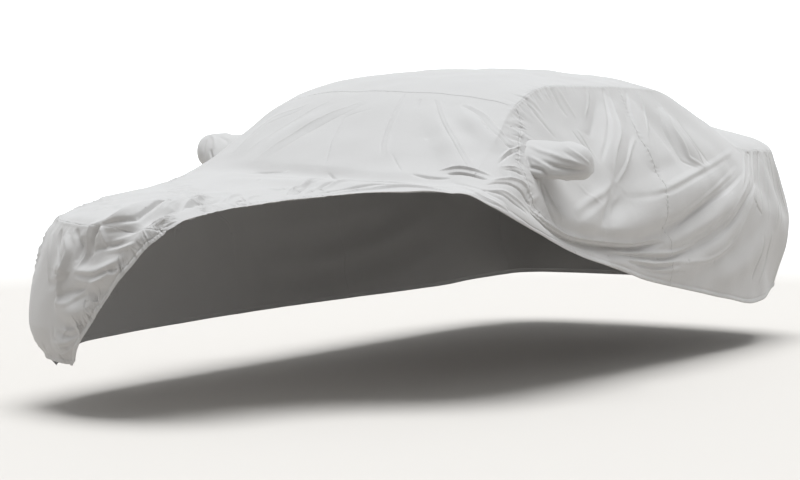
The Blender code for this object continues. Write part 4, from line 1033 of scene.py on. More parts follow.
FOLDS = []
for _, half_width, height, at_start, at_end, path in MAIN_FOLDS["rows"]:
    shape = (half_width, half_width, height, 0.0, at_start, at_end, MAIN_EVENNESS)
    FOLDS.append(Fold(smooth_line(path), *shape, fine=False))
for row in CREASES["rows"]:
    FOLDS += crease(row, SMOOTH)
print(len(FOLDS), "folds found on the cloth")

# %% [markdown]
# ## Gathers
# Where elastic runs in the hem, and where one panel was eased into a shorter one, the cloth stands in
# small uneven waves across the line. A plain sine could make them, but it would look knitted, so each
# wave here has its own height and its own spacing.

# %% Waves across a line
rng = np.random.default_rng(7)
EDGE_HOLD = 0.020  # a line holds its own cloth down over this width
FACES_PER_WAVE = 4.5
KNOTS_PER_WAVE, SPARE_KNOTS = 2.4, 8  # a knot is the top or the foot of a wave
SPACINGS, HEIGHTS, REACHES, SLANTS = (0.55, 1.45), (0.15, 1.0), (0.3, 1.0), (-0.7, 0.7)
LOW_MANY, FADE_FAST = 1.2, 1.3  # powers: more low waves than high ones, and a quick end


class Gathers:
    """Small uneven pleats across a line. Each has its own height, spacing, length and slant."""

    fine = True

    def __init__(self, line, wave, height, reach, at_line, at_start, at_end):
        self.line, self.height, self.reach, self.at_line = line, height, reach, at_line
        self.at_start, self.at_end = at_start, at_end
        self.cell = wave / FACES_PER_WAVE
        length = np.linalg.norm(np.diff(line, axis=0), axis=1).sum()
        count = int(length / wave * KNOTS_PER_WAVE) + SPARE_KNOTS
        self.knots = np.concatenate([[-wave], np.cumsum(wave / 2 * rng.uniform(*SPACINGS, count)) - wave])
        knots = len(self.knots)
        self.heights = rng.uniform(*HEIGHTS, knots) ** LOW_MANY * (-1.0) ** np.arange(knots)
        self.reaches = reach * rng.uniform(*REACHES, (2, knots))
        self.slants = rng.uniform(*SLANTS, (2, knots))

    def lift(self, points, directions):
        across, run, length = beside(points, directions, self.line)
        hand = (across < 0).astype(int)
        left_slant, right_slant = (np.interp(run, self.knots, slants) for slants in self.slants)
        moved = run + np.where(hand, right_slant, left_slant) * np.abs(across)
        place = np.clip(np.searchsorted(self.knots, moved) - 1, 0, len(self.knots) - 2)
        share = (moved - self.knots[place]) / (self.knots[place + 1] - self.knots[place])
        ease = 0.5 - 0.5 * np.cos(np.pi * np.clip(share, 0.0, 1.0))
        wave = self.heights[place] * (1 - ease) + self.heights[place + 1] * ease
        reach = self.reaches[hand, place] * (1 - ease) + self.reaches[hand, place + 1] * ease
        fade = np.clip(1 - np.abs(across) / reach, 0.0, 1.0) ** FADE_FAST
        fade *= self.at_line + (1 - self.at_line) * np.clip(np.abs(across) / EDGE_HOLD, 0.0, 1.0)
        ends = self.at_start + (self.at_end - self.at_start) * run / length
        return self.height * wave * fade * ends


print("a knot every", SPACINGS[0] / 2, "to", SPACINGS[1] / 2, "wave lengths")

# %% Where the gathers run, by pixel
NOSE_HEM_LINE = (
    (73, 364), (82, 341), (93, 321), (105, 302), (119, 283), (134, 264), (148, 247), (164, 233),
)
FRONT_HEM_LINE = (
    (168, 229), (185, 222), (205, 215), (230, 208), (255, 204), (285, 201), (310, 197), (335, 195),
)
UPPER_LINE = ((552, 88), (538, 94), (526, 104), (518, 115), (519, 130))
MIDDLE_LINE = ((519, 130), (519, 145), (519, 158), (520, 170))
LOWER_LINE = ((520, 170), (525, 186), (532, 200), (540, 213), (545, 222))
WHOLE_LINE = UPPER_LINE[:-1] + MIDDLE_LINE[:-1] + LOWER_LINE[:-1]
print("the front gathered seam runs through", len(WHOLE_LINE), "pixels")

# %% The gathers
GATHERS = {
    "columns": ("name", "wave", "height", "reach", "at_line", "at_start", "at_end", "path"),
    "rows": (
        ("nose hem", 0.016, 0.0095, 0.095, 0.8, 1.0, 1.0, NOSE_HEM_LINE),
        ("nose hem, longer pleats", 0.050, 0.0065, 0.150, 0.8, 0.8, 1.0, NOSE_HEM_LINE),
        ("bonnet hem", 0.018, 0.0090, 0.080, 0.8, 1.0, 0.9, FRONT_HEM_LINE),
        ("bonnet hem, longer pleats", 0.060, 0.0050, 0.120, 0.8, 1.0, 0.8, FRONT_HEM_LINE),
        ("far bonnet hem", 0.034, 0.0035, 0.060, 0.8, 0.9, 0.2,
         ((335, 195), (370, 193), (410, 192), (450, 193))),
        ("far cross seam", 0.018, 0.0045, 0.045, 1.0, 1.0, 0.4,
         ((284, 103), (295, 100), (310, 96), (330, 93))),
        ("cross seam", 0.040, 0.0016, 0.080, 1.0, 0.8, 1.0,
         ((330, 93), (380, 92), (440, 98), (470, 106), (500, 112))),
        ("upper pillar seam", 0.030, 0.0060, 0.085, 0.4, 1.0, 1.0, UPPER_LINE),
        ("middle pillar seam", 0.030, 0.0055, 0.075, 0.4, 1.0, 1.0, MIDDLE_LINE),
        ("lower pillar seam", 0.030, 0.0065, 0.085, 0.4, 1.0, 1.0, LOWER_LINE),
        ("pillar seam, longer pleats", 0.075, 0.0080, 0.140, 0.6, 0.8, 1.0, WHOLE_LINE),
        ("roof seam", 0.050, 0.0022, 0.090, 1.0, 0.9, 0.6, ((556, 88), (590, 88), (625, 88), (652, 91))),
        ("upper door seam", 0.028, 0.0032, 0.050, 1.0, 0.7, 1.0,
         ((619, 90), (626, 109), (634, 129), (643, 146), (649, 159))),
        ("lower door seam", 0.030, 0.0036, 0.055, 1.0, 1.0, 0.6,
         ((649, 159), (655, 171), (659, 184), (661, 201), (661, 222), (667, 238), (669, 258))),
        ("tail seam", 0.024, 0.0040, 0.140, 1.0, 0.5, 1.0,
         ((738, 151), (750, 152), (762, 152), (770, 152))),
        ("nose seam", 0.045, 0.0030, 0.060, 1.0, 0.7, 1.0, ((53, 228), (62, 229), (72, 230), (83, 231))),
    ),
}
for _, wave, height, reach, at_line, at_start, at_end, path in GATHERS["rows"]:
    places = on_cloth(path, SMOOTH)
    if len(places) > 1:
        FOLDS.append(Gathers(smooth_line(places), wave, height, reach, at_line, at_start, at_end))
print(len(FOLDS), "folds and gathers")

# %% [markdown]
# ## A slight unevenness
# Cloth is never quite smooth, even where it hangs flat. A bump in the material could show that, but the
# outline and the light on it would stay those of a moulded shell. Fourteen low, long waves in all
# directions take that look away. None is much higher than a millimetre, so they show only as a faint
# change of tone.

# %% Low waves
WAVE_COUNT, WAVE_LENGTHS = 14, (0.11, 0.42)
UNEVENNESS = 0.0032  # height for each metre of wave length
wave_length = rng.uniform(*WAVE_LENGTHS, WAVE_COUNT)
wave_way = rng.normal(size=(WAVE_COUNT, 3))
wave_way *= (2 * np.pi / wave_length / np.linalg.norm(wave_way, axis=1))[:, None]
wave_start = rng.uniform(0.0, 2 * np.pi, WAVE_COUNT)


def unevenness(points):
    return np.sin(points @ wave_way.T + wave_start) @ (UNEVENNESS * wave_length)


print("waves from", round(wave_length.min(), 2), "to", round(wave_length.max(), 2), "m long")

# %% [markdown]
# ## Cutting the cloth finer where it folds
# A flat stretch needs few faces and a pucker needs many. The whole panel could be subdivided, but that
# would cost many times as many faces. So each panel starts as an even mesh in its own flat rows and
# lines, and is cut finer only near a fold, until its faces are about a third of the width of that fold's
# narrower side.

# %% Smooth values between a grid's points
FLOOR_SLACK = 1e-9


def weights(at, count):
    """For each place: the grid point before it, and the shares of the four points round it."""
    first = np.clip(np.floor(at + FLOOR_SLACK).astype(int), 0, count - 2)
    t = at - first
    return first, (
        0.5 * (-t + 2 * t**2 - t**3),
        0.5 * (2 - 5 * t**2 + 3 * t**3),
        0.5 * (t + 4 * t**2 - 3 * t**3),
        0.5 * (-(t**2) + t**3),
    )


def widened(grid):
    """A grid with one more row at either end, in line with the last two."""
    return np.concatenate([2 * grid[:1] - grid[1:2], grid, 2 * grid[-1:] - grid[-2:-1]])


def on_grid(grid, rows, lines):
    """Smooth values between a grid's points, at fractional rows and lines."""
    padded = widened(widened(grid).swapaxes(0, 1)).swapaxes(0, 1)
    row, row_weights = weights(rows, grid.shape[0])
    line, line_weights = weights(lines, grid.shape[1])
    total = np.zeros((len(rows), grid.shape[2]))
    for down, down_weight in enumerate(row_weights):
        for across, across_weight in enumerate(line_weights):
            total += (down_weight * across_weight)[:, None] * padded[row + down, line + across]
    return total


print("half a cell into the roof:", on_grid(roof, np.array([0.5]), np.array([0.5])).round(3))

# %% How fine the folds want the mesh
SMALLEST_CELL = 0.0036


def wanted_cell(points, sizes):
    """The smallest cell that any fold near each point asks for."""
    wanted = np.full(len(points), np.inf)
    for fold in FOLDS:
        reach = fold.reach + sizes.max() / 2
        low, high = fold.line.min(axis=0) - reach, fold.line.max(axis=0) + reach
        near = np.nonzero(((points > low) & (points < high)).all(axis=1))[0]
        if len(near):
            apart = np.linalg.norm(points[near][:, None] - fold.line[None], axis=-1).min(axis=1)
            close = near[apart < fold.reach + sizes[near] / 2]
            wanted[close] = np.minimum(wanted[close], max(fold.cell, SMALLEST_CELL))
    return wanted


print("the finest fold asks for faces of", round(min(fold.cell for fold in FOLDS), 4), "m")

# %% How fine the borders want it
EDGES = {  # what a panel has at its first row, its last row, its right line and its left line
    "bonnet_panel": ("seam", "seam", "seam", "hem"),
    "roof_panel": ("seam", "seam", "felled", "felled"),
    "nose_panel": ("hem", "seam", "hem", "seam"),
    "left_front_side": ("seam", "seam", "seam", "hem"),
    "left_rear_side": ("seam", "seam", "seam", "hem"),
    "right_front_side": ("seam", "seam", "hem", "seam"),
    "right_rear_side": ("seam", "seam", "hem", "seam"),
    "tail_panel": ("seam", "hem", "seam", "seam"),
}
EDGE_CELLS = {"seam": (0.012, 0.0045), "felled": (0.018, 0.0042), "hem": (0.032, 0.0060)}  # reach, cell
POCKET_CELL, POCKET_SEAM_REACH = 0.005, 0.01


def pocket_share(points):
    """How far from the middle of the mirror pocket's root each point lies: 1 is on its seam."""
    y, z, half_depth, half_height, slant = POCKET["rows"][1][1:]
    rise = points[:, 2] - z
    return np.hypot((points[:, 1] - y - slant * rise) / half_depth, rise / half_height)


def wanted_size(name, edges, middles, centres, sizes):
    """The cell that each face's folds, borders and pocket ask for."""
    wanted = wanted_cell(centres, sizes)
    away = on_grid(edges, middles[:, 0], middles[:, 1]) - sizes[:, None] / 2
    for kind, distance in zip(EDGES[name], away.T):
        reach, cell = EDGE_CELLS[kind]
        wanted[distance < reach] = np.minimum(wanted[distance < reach], cell)
    if "front_side" in name:
        apart = np.abs(pocket_share(centres) - 1) * POCKET["rows"][0][3]
        root = apart < POCKET_SEAM_REACH + sizes / 2
        wanted[root] = np.minimum(wanted[root], POCKET_CELL)
    return wanted


print("borders with a hem:", sum(kinds.count("hem") for kinds in EDGES.values()))

# %% Cut a panel's flat mesh
CUTS = 3
TOO_LONG = 1.4  # a face is cut when its longest side is this many times the wanted cell
HOLE = 0.96  # the share of the pocket's root that is cut out of the side panel


def measured(shape, grid):
    """The middle of each face in rows and lines, its middle on the cloth, and its longest side there."""
    places = np.array([vert.co[:2] for vert in shape.verts])
    solid = on_grid(grid, places[:, 0], places[:, 1])
    corners = [[vert.index for vert in face.verts] for face in shape.faces]
    centres = np.array([solid[corner].mean(axis=0) for corner in corners])
    middles = np.array([places[corner].mean(axis=0) for corner in corners])
    sides = [solid[corner] - solid[np.roll(corner, 1)] for corner in corners]
    return middles, centres, np.array([np.linalg.norm(lengths, axis=1).max() for lengths in sides])


def cut_hole(shape, grid):
    """Take out the faces that the mirror pocket covers."""
    shape.faces.ensure_lookup_table()
    middles = np.array([face.calc_center_median()[:2] for face in shape.faces])
    inside = pocket_share(on_grid(grid, middles[:, 0], middles[:, 1])) < HOLE
    covered = [shape.faces[place] for place in np.nonzero(inside)[0]]
    bmesh.ops.delete(shape, geom=covered, context="FACES")


def cut_mesh(name, grid, edges):
    """A flat mesh over a panel's rows and lines, cut finer near its folds, seams and hems."""
    rows, lines = grid.shape[:2]
    flat = np.stack(np.meshgrid(np.arange(rows), np.arange(lines), indexing="ij"), axis=-1).reshape(-1, 2)
    mesh = bpy.data.meshes.new(name)
    mesh.from_pydata(np.c_[flat, np.zeros(len(flat))].tolist(), [], quads_of(grid).tolist())
    shape = bmesh.new()
    shape.from_mesh(mesh)
    for _ in range(CUTS):
        shape.verts.ensure_lookup_table()
        shape.faces.ensure_lookup_table()
        middles, centres, sizes = measured(shape, grid)
        too_long = sizes > TOO_LONG * wanted_size(name, edges, middles, centres, sizes)
        chosen = {edge for place in np.nonzero(too_long)[0] for edge in shape.faces[place].edges}
        if not chosen:
            break
        bmesh.ops.subdivide_edges(shape, edges=list(chosen), cuts=1, use_grid_fill=True)
    if "front_side" in name:
        cut_hole(shape, grid)
    shape.to_mesh(mesh)
    shape.free()
    return mesh


print("a face can be cut", CUTS, "times, to", 1 / 2**CUTS, "of its side")

# %% [markdown]
# ## Seams and hems
# A seam is a shallow groove between two soft rolls, because its stitches pull it in. A hem is the cloth
# turned up and sewn down, so it stands a little proud as far as its stitches, and its elastic holds the
# fine folds down along the edge. Each could be a strip laid over the panel, but a strip would have to
# follow every fold. Here they are part of the panel, and it is enough to know how far each point is from
# its four borders.

# %% How far each point is from the borders
LEAST_SQUARE = 0.3  # lines that meet a border at a slant count for at least this share


def edge_distances(grid):
    """The distance of every grid point from the four borders, measured square to each."""
    found = []
    for rows in (grid, grid[::-1], grid.transpose(1, 0, 2), grid.transpose(1, 0, 2)[::-1]):
        run = np.cumsum(np.linalg.norm(np.diff(rows, axis=0), axis=2), axis=0)
        run = np.concatenate([np.zeros((1, rows.shape[1])), run])
        border = np.gradient(rows[0], axis=0)
        border /= np.linalg.norm(border, axis=1, keepdims=True) + 1e-9
        inwards = rows[1] - rows[0]
        inwards /= np.linalg.norm(inwards, axis=1, keepdims=True) + 1e-9
        square = np.linalg.norm(np.cross(border, inwards), axis=1)
        found.append(run * np.clip(square, LEAST_SQUARE, 1.0)[None])
    first, last, right, left = found
    return np.stack([first, last[::-1], right.T, left[::-1].T], axis=-1)


EDGE_DISTANCES = {name: edge_distances(grid) for name, grid in PANELS.items()}
deepest = EDGE_DISTANCES["roof_panel"].min(axis=-1).max()
print("the farthest point of the roof from a border:", deepest.round(2), "m")

# %% How seams and hems lift the cloth
HEM_WIDTH, HEM_RISE, HEM_LIP = 0.021, 0.0045, 0.005
HEM_STITCH, HEM_STITCH_DEPTH = 0.023, 0.0020
SEAM_DEPTH, GROOVE_WIDTH = 0.0008, 0.0035
ROLL_AT, ROLL_RISE, ROLL_WIDTH = 0.0075, 0.0006, 0.0035
FELL_AT, FELL_DEPTH = 0.013, 0.0009  # a felled seam has a second row of stitches


def hump(away, middle, width):
    return np.exp(-(((away - middle) / width) ** 2))


def edge_lift(kinds, distances):
    """How a panel's seams and hems lift it."""
    total = np.zeros(len(distances))
    for kind, away in zip(kinds, distances.T):
        if kind == "hem":
            total += HEM_RISE * np.sin(np.pi * np.clip((away + HEM_LIP) / (HEM_WIDTH + HEM_LIP), 0.0, 1.0))
            total -= HEM_STITCH_DEPTH * hump(away, HEM_STITCH, ROLL_WIDTH)
        else:
            total -= SEAM_DEPTH * hump(away, 0.0, GROOVE_WIDTH)
            total += ROLL_RISE * hump(away, ROLL_AT, ROLL_WIDTH)
        if kind == "felled":
            total -= FELL_DEPTH * hump(away, FELL_AT, GROOVE_WIDTH)
    return total


print("a hem stands", HEM_RISE, "m proud and a seam lies", SEAM_DEPTH, "m deep")

# %% The folded cloth
HEM_HOLD, HEM_HOLD_WIDTH = 0.25, 0.050  # fine folds keep this share at a hem, and all of it farther in


def lift(points, directions, freedom):
    """How far all the folds together lift each point. Near a hem the fine folds have less freedom."""
    total = unevenness(points)
    for fold in FOLDS:
        low, high = fold.line.min(axis=0) - 2 * fold.reach, fold.line.max(axis=0) + 2 * fold.reach
        near = np.nonzero(((points > low) & (points < high)).all(axis=1))[0]
        if len(near):
            total[near] += fold.lift(points[near], directions[near]) * (freedom[near] if fold.fine else 1.0)
    return total


def on_panel(name, rows, lines):
    """Places on a panel's folded cloth, and the outward direction there."""
    smooth = on_grid(PANELS[name], rows, lines)
    direction = on_grid(OUTWARD[name], rows, lines)
    direction /= np.linalg.norm(direction, axis=1, keepdims=True)
    distances = np.maximum(on_grid(EDGE_DISTANCES[name], rows, lines), 0.0)
    hems = [place for place, kind in enumerate(EDGES[name]) if kind == "hem"]
    freedom = np.ones(len(rows))
    if hems:
        inwards = np.clip(distances[:, hems].min(axis=1) / HEM_HOLD_WIDTH, 0.0, 1.0)
        freedom = HEM_HOLD + (1 - HEM_HOLD) * inwards
    height = lift(smooth, direction, freedom) + edge_lift(EDGES[name], distances)
    return smooth + direction * height[:, None], direction


middle_of_roof = on_panel("roof_panel", np.array([float(FRONT_ROWS)]), np.array([ACROSS / 2]))[0]
print("the folded cloth at the middle of the roof:", middle_of_roof.round(3))

# %% [markdown]
# ## What the cloth looks like
# It is a fine synthetic weave, pale silver grey and nearly matt, with a soft sheen at glancing angles. A
# picture of cloth could be wrapped round it, but noise and waves never repeat and stay sharp from close
# by. Sums on shader values read best as sums, so a small class turns them into Math nodes.

# %% Shader values as sums
class Value:
    """One output of a node. Sums and products with it add Math nodes."""

    def __init__(self, finish, socket):
        self.finish = finish
        self.socket = socket

    def math(self, operation, first, second):
        return self.finish.node("ShaderNodeMath", {"operation": operation}, {0: first, 1: second})

    def __add__(self, other):
        return self.math("ADD", self, other)

    __radd__ = __add__

    def __sub__(self, other):
        return self.math("SUBTRACT", self, other)

    def __rsub__(self, other):
        return self.math("SUBTRACT", other, self)

    def __mul__(self, other):
        return self.math("MULTIPLY", self, other)

    __rmul__ = __mul__


print("sums on a", Value.__name__, "make Math nodes")

# %% A material that grows node by node
class Finish:
    """A material, to which nodes are added one call at a time."""

    def __init__(self, name):
        self.material = bpy.data.materials.new(name)
        self.material.use_nodes = True
        self.tree = self.material.node_tree
        self.shader = self.tree.nodes["Principled BSDF"]

    def node(self, kind, settings=None, sockets=None, out=0):
        made = self.tree.nodes.new(kind)
        for name, value in (settings or {}).items():
            setattr(made, name, value)
        for key, value in (sockets or {}).items():
            self.feed(made.inputs[key], value)
        return Value(self, made.outputs[out])

    def feed(self, socket, value):
        if isinstance(value, Value):
            self.tree.links.new(value.socket, socket)
        else:
            socket.default_value = value

    def shade(self, **sockets):
        """Feed the shader's own sockets. Their names are written with _ for a space."""
        for name, value in sockets.items():
            self.feed(self.shader.inputs[name.replace("_", " ")], value)

    def mix(self, share, first, second):
        """A colour that goes from the first to the second as the share goes from 0 to 1."""
        first, second = (given if isinstance(given, Value) else (*given, 1.0) for given in (first, second))
        return self.node(
            "ShaderNodeMix", {"data_type": "RGBA"}, {"Factor": share, 6: first, 7: second}, out=2,
        )


print("a finish can", [name for name in vars(Finish) if not name.startswith("_")])

# %% The cloth's outer and inner finish
SLOW_SCALE, SLUB_SCALE, CRINKLE_SCALE, WEAVE_SCALE = 2.2, 420.0, 38.0, 260.0
CRINKLE_DEPTH = 0.0016
SHEEN, SHEEN_SPREAD, SHINE = 0.10, 0.45, 0.28


def cloth_finish(name, light, dark, weave_depth):
    """Light grey weave: slow changes of tone, fine slubs, and a crinkle too small to model."""
    finish = Finish(name)
    place = finish.node("ShaderNodeTexCoord", out=3)
    threads = finish.node("ShaderNodeAttribute", {"attribute_name": "threads"}, out=1)
    slow = finish.node("ShaderNodeTexNoise", None, {
        "Vector": place, "Scale": SLOW_SCALE, "Detail": 3.0, "Roughness": 0.6,
    })
    slubs = finish.node("ShaderNodeTexNoise", None, {"Vector": threads, "Scale": SLUB_SCALE, "Detail": 2.0})
    crinkle = finish.node("ShaderNodeTexNoise", None, {
        "Vector": place, "Scale": CRINKLE_SCALE, "Detail": 5.0, "Roughness": 0.6,
    })
    tone = 0.75 * slow + 0.25 * slubs
    colour = finish.mix(tone, dark, light)
    finish.shade(Base_Color=colour, Roughness=0.62 + 0.16 * crinkle)
    warp, weft = (
        finish.node(
            "ShaderNodeTexWave", {"bands_direction": way, "wave_profile": "SIN"},
            {"Vector": threads, "Scale": WEAVE_SCALE, "Distortion": 0.6, "Detail": 1.0},
        )
        for way in ("X", "Y")
    )
    fine = finish.node("ShaderNodeBump", None, {
        "Strength": 0.25, "Distance": weave_depth, "Height": warp * 0.5 + weft * 0.5,
    })
    rough = finish.node("ShaderNodeBump", None, {
        "Strength": 0.35, "Distance": CRINKLE_DEPTH, "Height": crinkle, "Normal": fine,
    })
    finish.shade(Normal=rough, Sheen_Weight=SHEEN, Sheen_Roughness=SHEEN_SPREAD, Specular_IOR_Level=SHINE)
    return finish.material


WEAVE_DEPTH, THREAD_DEPTH = 0.0003, 0.0001
OUTER = cloth_finish("cover_cloth_outside", (0.514, 0.500, 0.486), (0.464, 0.450, 0.436), WEAVE_DEPTH)
INNER = cloth_finish("cover_cloth_inside", (0.470, 0.462, 0.455), (0.420, 0.413, 0.406), WEAVE_DEPTH)
THREAD = cloth_finish("thread", (0.690, 0.680, 0.670), (0.630, 0.620, 0.610), THREAD_DEPTH)
print("finishes:", OUTER.name, INNER.name, THREAD.name)

# %% [markdown]
# ## Sewing the panels
# Each panel is lifted by its folds, thinned by Decimate where it has more faces than it needs, given its
# thickness and a rim by Solidify, and the size that it was cut to is printed. Its inner
# face could be modelled too, but Solidify keeps the two faces in step. The outside takes one finish and
# the inside a slightly darker one. The stitches could be a dashed line in the material, but solid ones
# catch the light, so each is a tiny spindle of eight faces.

# %% Measure the flat cloth
def threads_of(grid, rows, lines):
    """Where each point lay in the flat cloth, in metres, for the weave to follow."""
    down = np.linalg.norm(np.diff(grid, axis=0), axis=2).mean()
    across = np.linalg.norm(np.diff(grid, axis=1), axis=2).mean()
    return np.stack([rows * down, lines * across, np.zeros(len(rows))], axis=1)


def flat_size(grid):
    """The width and length of the rectangle that a panel is cut from, and the panel's own area."""
    across = np.linalg.norm(np.diff(grid, axis=1), axis=2).sum(axis=1).max()
    along = np.linalg.norm(np.diff(grid, axis=0), axis=2).sum(axis=0).max()
    facing = np.cross(grid[:-1, 1:] - grid[1:, :-1], grid[1:, 1:] - grid[:-1, :-1])
    return float(across), float(along), float(np.linalg.norm(facing, axis=2).sum() / 2)


print("the roof panel is cut from", np.round(flat_size(roof)[:2], 2), "m")

# %% Finish and thickness
SHEET = 0.0016
MOST_TRIANGLES, SHARE_KEPT, FEW_TRIANGLES = 92000, 0.53, 20000
CLOTH_BODY = "root"


def finished(piece, threads):
    """Give a cloth mesh its thread places, finishes and thickness, and let it ride with the cover."""
    mesh = piece.data
    store = mesh.attributes.new("threads", "FLOAT_VECTOR", "POINT")
    store.data.foreach_set("vector", threads.astype(np.float32).ravel())
    mesh.shade_smooth()
    mesh.materials.append(OUTER)
    mesh.materials.append(INNER)
    triangles = len(mesh.loops) - 2 * len(mesh.polygons)
    thinned = piece.modifiers.new("fewer faces where flat", "DECIMATE")
    thinned.ratio = min(SHARE_KEPT, MOST_TRIANGLES / triangles) if triangles > FEW_TRIANGLES else 1.0
    wall = piece.modifiers.new("cloth", "SOLIDIFY")
    wall.thickness = SHEET
    wall.offset = -1.0
    wall.material_offset = 1
    bpy.context.scene.collection.objects.link(piece)
    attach(piece, CLOTH_BODY)


print("each sheet is", SHEET, "m thick")

# %% Where the stitches go
STITCH_PITCH, STITCH_LENGTH, STITCH_WIDTH, STITCH_RISE = 0.0050, 0.0034, 0.0008, 0.0004
STITCH_ROWS = {"seam": (0.0070,), "felled": (0.0045, 0.0115), "hem": (0.0215,)}  # distances from the border


def stitch_ends(name):
    """The starts and the ends of the stitches along a panel's borders, in rows and lines."""
    grid = PANELS[name]
    last_row, last_line = grid.shape[0] - 1, grid.shape[1] - 1
    borders = (grid, grid[::-1], grid.transpose(1, 0, 2), grid.transpose(1, 0, 2)[::-1])
    starts, ends = [], []
    for place, (kind, rows) in enumerate(zip(EDGES[name], borders)):
        run = np.concatenate([[0.0], np.cumsum(np.linalg.norm(np.diff(rows[0], axis=0), axis=1))])
        middles = np.arange(STITCH_PITCH, run[-1] - STITCH_PITCH, STITCH_PITCH)
        square = np.gradient(EDGE_DISTANCES[name][..., place], axis=place // 2)
        cell = np.abs((square if place < 2 else square.T)[-1 if place % 2 else 0])
        for away in STITCH_ROWS[kind]:
            for found, shift in ((starts, -STITCH_LENGTH / 2), (ends, STITCH_LENGTH / 2)):
                along = np.interp(middles + shift, run, np.arange(len(run)))
                inside = away / np.interp(along, np.arange(len(cell)), cell)
                if place % 2:
                    inside = (last_row, last_line)[place // 2] - inside
                found.append(np.stack([inside, along] if place < 2 else [along, inside], axis=1))
    return np.concatenate(starts), np.concatenate(ends)


print("stitches on the roof panel:", len(stitch_ends("roof_panel")[0]))

# %% Make the stitches
STITCH_FACES = ((0, 2, 4), (2, 1, 4), (1, 3, 4), (3, 0, 4), (2, 0, 5), (1, 2, 5), (3, 1, 5), (0, 3, 5))
STITCH_CORNERS = 6
CLEAR_OF_POCKET = 1.1  # no stitch lies nearer to the pocket's middle than this share of its root


def make_stitches(name):
    """The stitches along a panel's borders, as one piece."""
    (start, direction), (end, _) = (on_panel(name, *at.T) for at in stitch_ends(name))
    if "front_side" in name:
        kept = pocket_share(start) > CLEAR_OF_POCKET
        start, end, direction = start[kept], end[kept], direction[kept]
    middle, half = (start + end) / 2, (end - start) / 2
    sideways = np.cross(direction, half)
    sideways *= STITCH_WIDTH / 2 / np.linalg.norm(sideways, axis=1, keepdims=True)
    rise = direction * STITCH_RISE
    points = np.stack([
        middle - half, middle + half, middle + sideways, middle - sideways,
        middle + rise, middle - rise / 2,
    ], axis=1)
    first = STITCH_CORNERS * np.arange(len(points))[:, None, None]
    faces = (first + np.array(STITCH_FACES)[None]).reshape(-1, 3)
    mesh = bpy.data.meshes.new(name + "_stitches")
    mesh.from_pydata((points.reshape(-1, 3) - ROOF_REST).tolist(), [], faces.tolist())
    mesh.materials.append(THREAD)
    piece = bpy.data.objects.new(name + "_stitches", mesh)
    bpy.context.scene.collection.objects.link(piece)
    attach(piece, CLOTH_BODY)
    return piece


print("a stitch is", STITCH_LENGTH, "m long, one every", STITCH_PITCH, "m")

# %% Make the panels
for name, grid in PANELS.items():
    mesh = cut_mesh(name, grid, EDGE_DISTANCES[name])
    flat = np.zeros(3 * len(mesh.vertices))
    mesh.vertices.foreach_get("co", flat)
    rows, lines = flat.reshape(-1, 3)[:, :2].T
    folded = on_panel(name, rows, lines)[0]
    mesh.vertices.foreach_set("co", (folded - ROOF_REST).ravel())
    mesh.update()
    mesh.name = name + "_cloth"
    piece = bpy.data.objects.new(name + "_cloth", mesh)
    finished(piece, threads_of(grid, rows, lines))
    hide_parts(name)
    stitches = make_stitches(name)
    across, along, area = flat_size(grid)
    print(name, len(mesh.polygons), "faces, cut from", round(across, 2), "x", round(along, 2), "m")

# %% [markdown]
# ## The mirror pockets
# A pocket is a short sleeve with a rounded end, sewn into a hole in the side panel. It could be pulled
# out of the panel itself, but the weave would be stretched there, and the real one is sewn in. It is
# built as rings from its root to its tip, so its outline can change on the way.

# %% The pockets' creases, by pixel
POCKET_CREASES = {
    "columns": ("name", "left", "right", "height", "crisp", "at_start", "at_end", "path"),
    "rows": (
        ("shoulder edge", 0.030, 0.014, 0.008, 0.7, 0.4, 0.3,
         ((529, 146), (544, 153), (560, 158), (575, 162), (588, 167))),
        ("hollow under the shoulder", 0.012, 0.026, -0.011, 0.5, 0.2, 0.2,
         ((541, 161), (556, 166), (572, 169), (585, 170))),
        ("root hollow", 0.012, 0.022, -0.012, 0.5, 0.3, 0.3,
         ((529, 167), (536, 168), (543, 171), (547, 177))),
        ("second edge", 0.012, 0.014, 0.005, 0.6, 0.2, 0.2,
         ((566, 147), (576, 153), (584, 159), (590, 164))),
        ("hollow beside it", 0.014, 0.012, -0.004, 0.3, 0.2, 0.2, ((562, 151), (572, 157), (581, 163))),
        ("root facet", 0.014, 0.014, -0.006, 0.4, 0.3, 0.3, ((523, 148), (527, 158), (531, 168))),
        ("facet edge", 0.014, 0.014, 0.006, 0.6, 0.2, 0.2, ((530, 157), (539, 162), (550, 168))),
        ("low edge", 0.014, 0.014, 0.005, 0.5, 0.2, 0.2, ((549, 175), (563, 175), (576, 175))),
        ("right trough", 0.010, 0.012, -0.014, 0.6, 0.2, 0.6, ((211, 150), (212, 156), (214, 161))),
        ("right facet edge", 0.016, 0.014, 0.007, 0.6, 0.4, 0.2, ((210, 134), (214, 139), (215, 149))),
        ("right soft hollow", 0.016, 0.018, -0.007, 0.2, 0.2, 0.2, ((206, 139), (204, 147), (205, 157))),
        ("right top hollow", 0.014, 0.016, -0.005, 0.3, 0.2, 0.2, ((219, 136), (226, 140), (228, 145))),
    ),
}


print(len(POCKET_CREASES["rows"]), "creases on the two pockets")

# %% A pocket's grid
POCKET_RINGS, POCKET_SIDES = 64, 96
POCKET_TURN_IN = 0.006  # how far the root reaches in behind the panel


def panel_x(y, z):
    """The x of the smooth left side at each y and z."""
    station = station_at(y)
    for _ in range(ROUNDS):
        station = station + (y - side(station, z)[..., 1])
    return side(station, z)[..., 0]


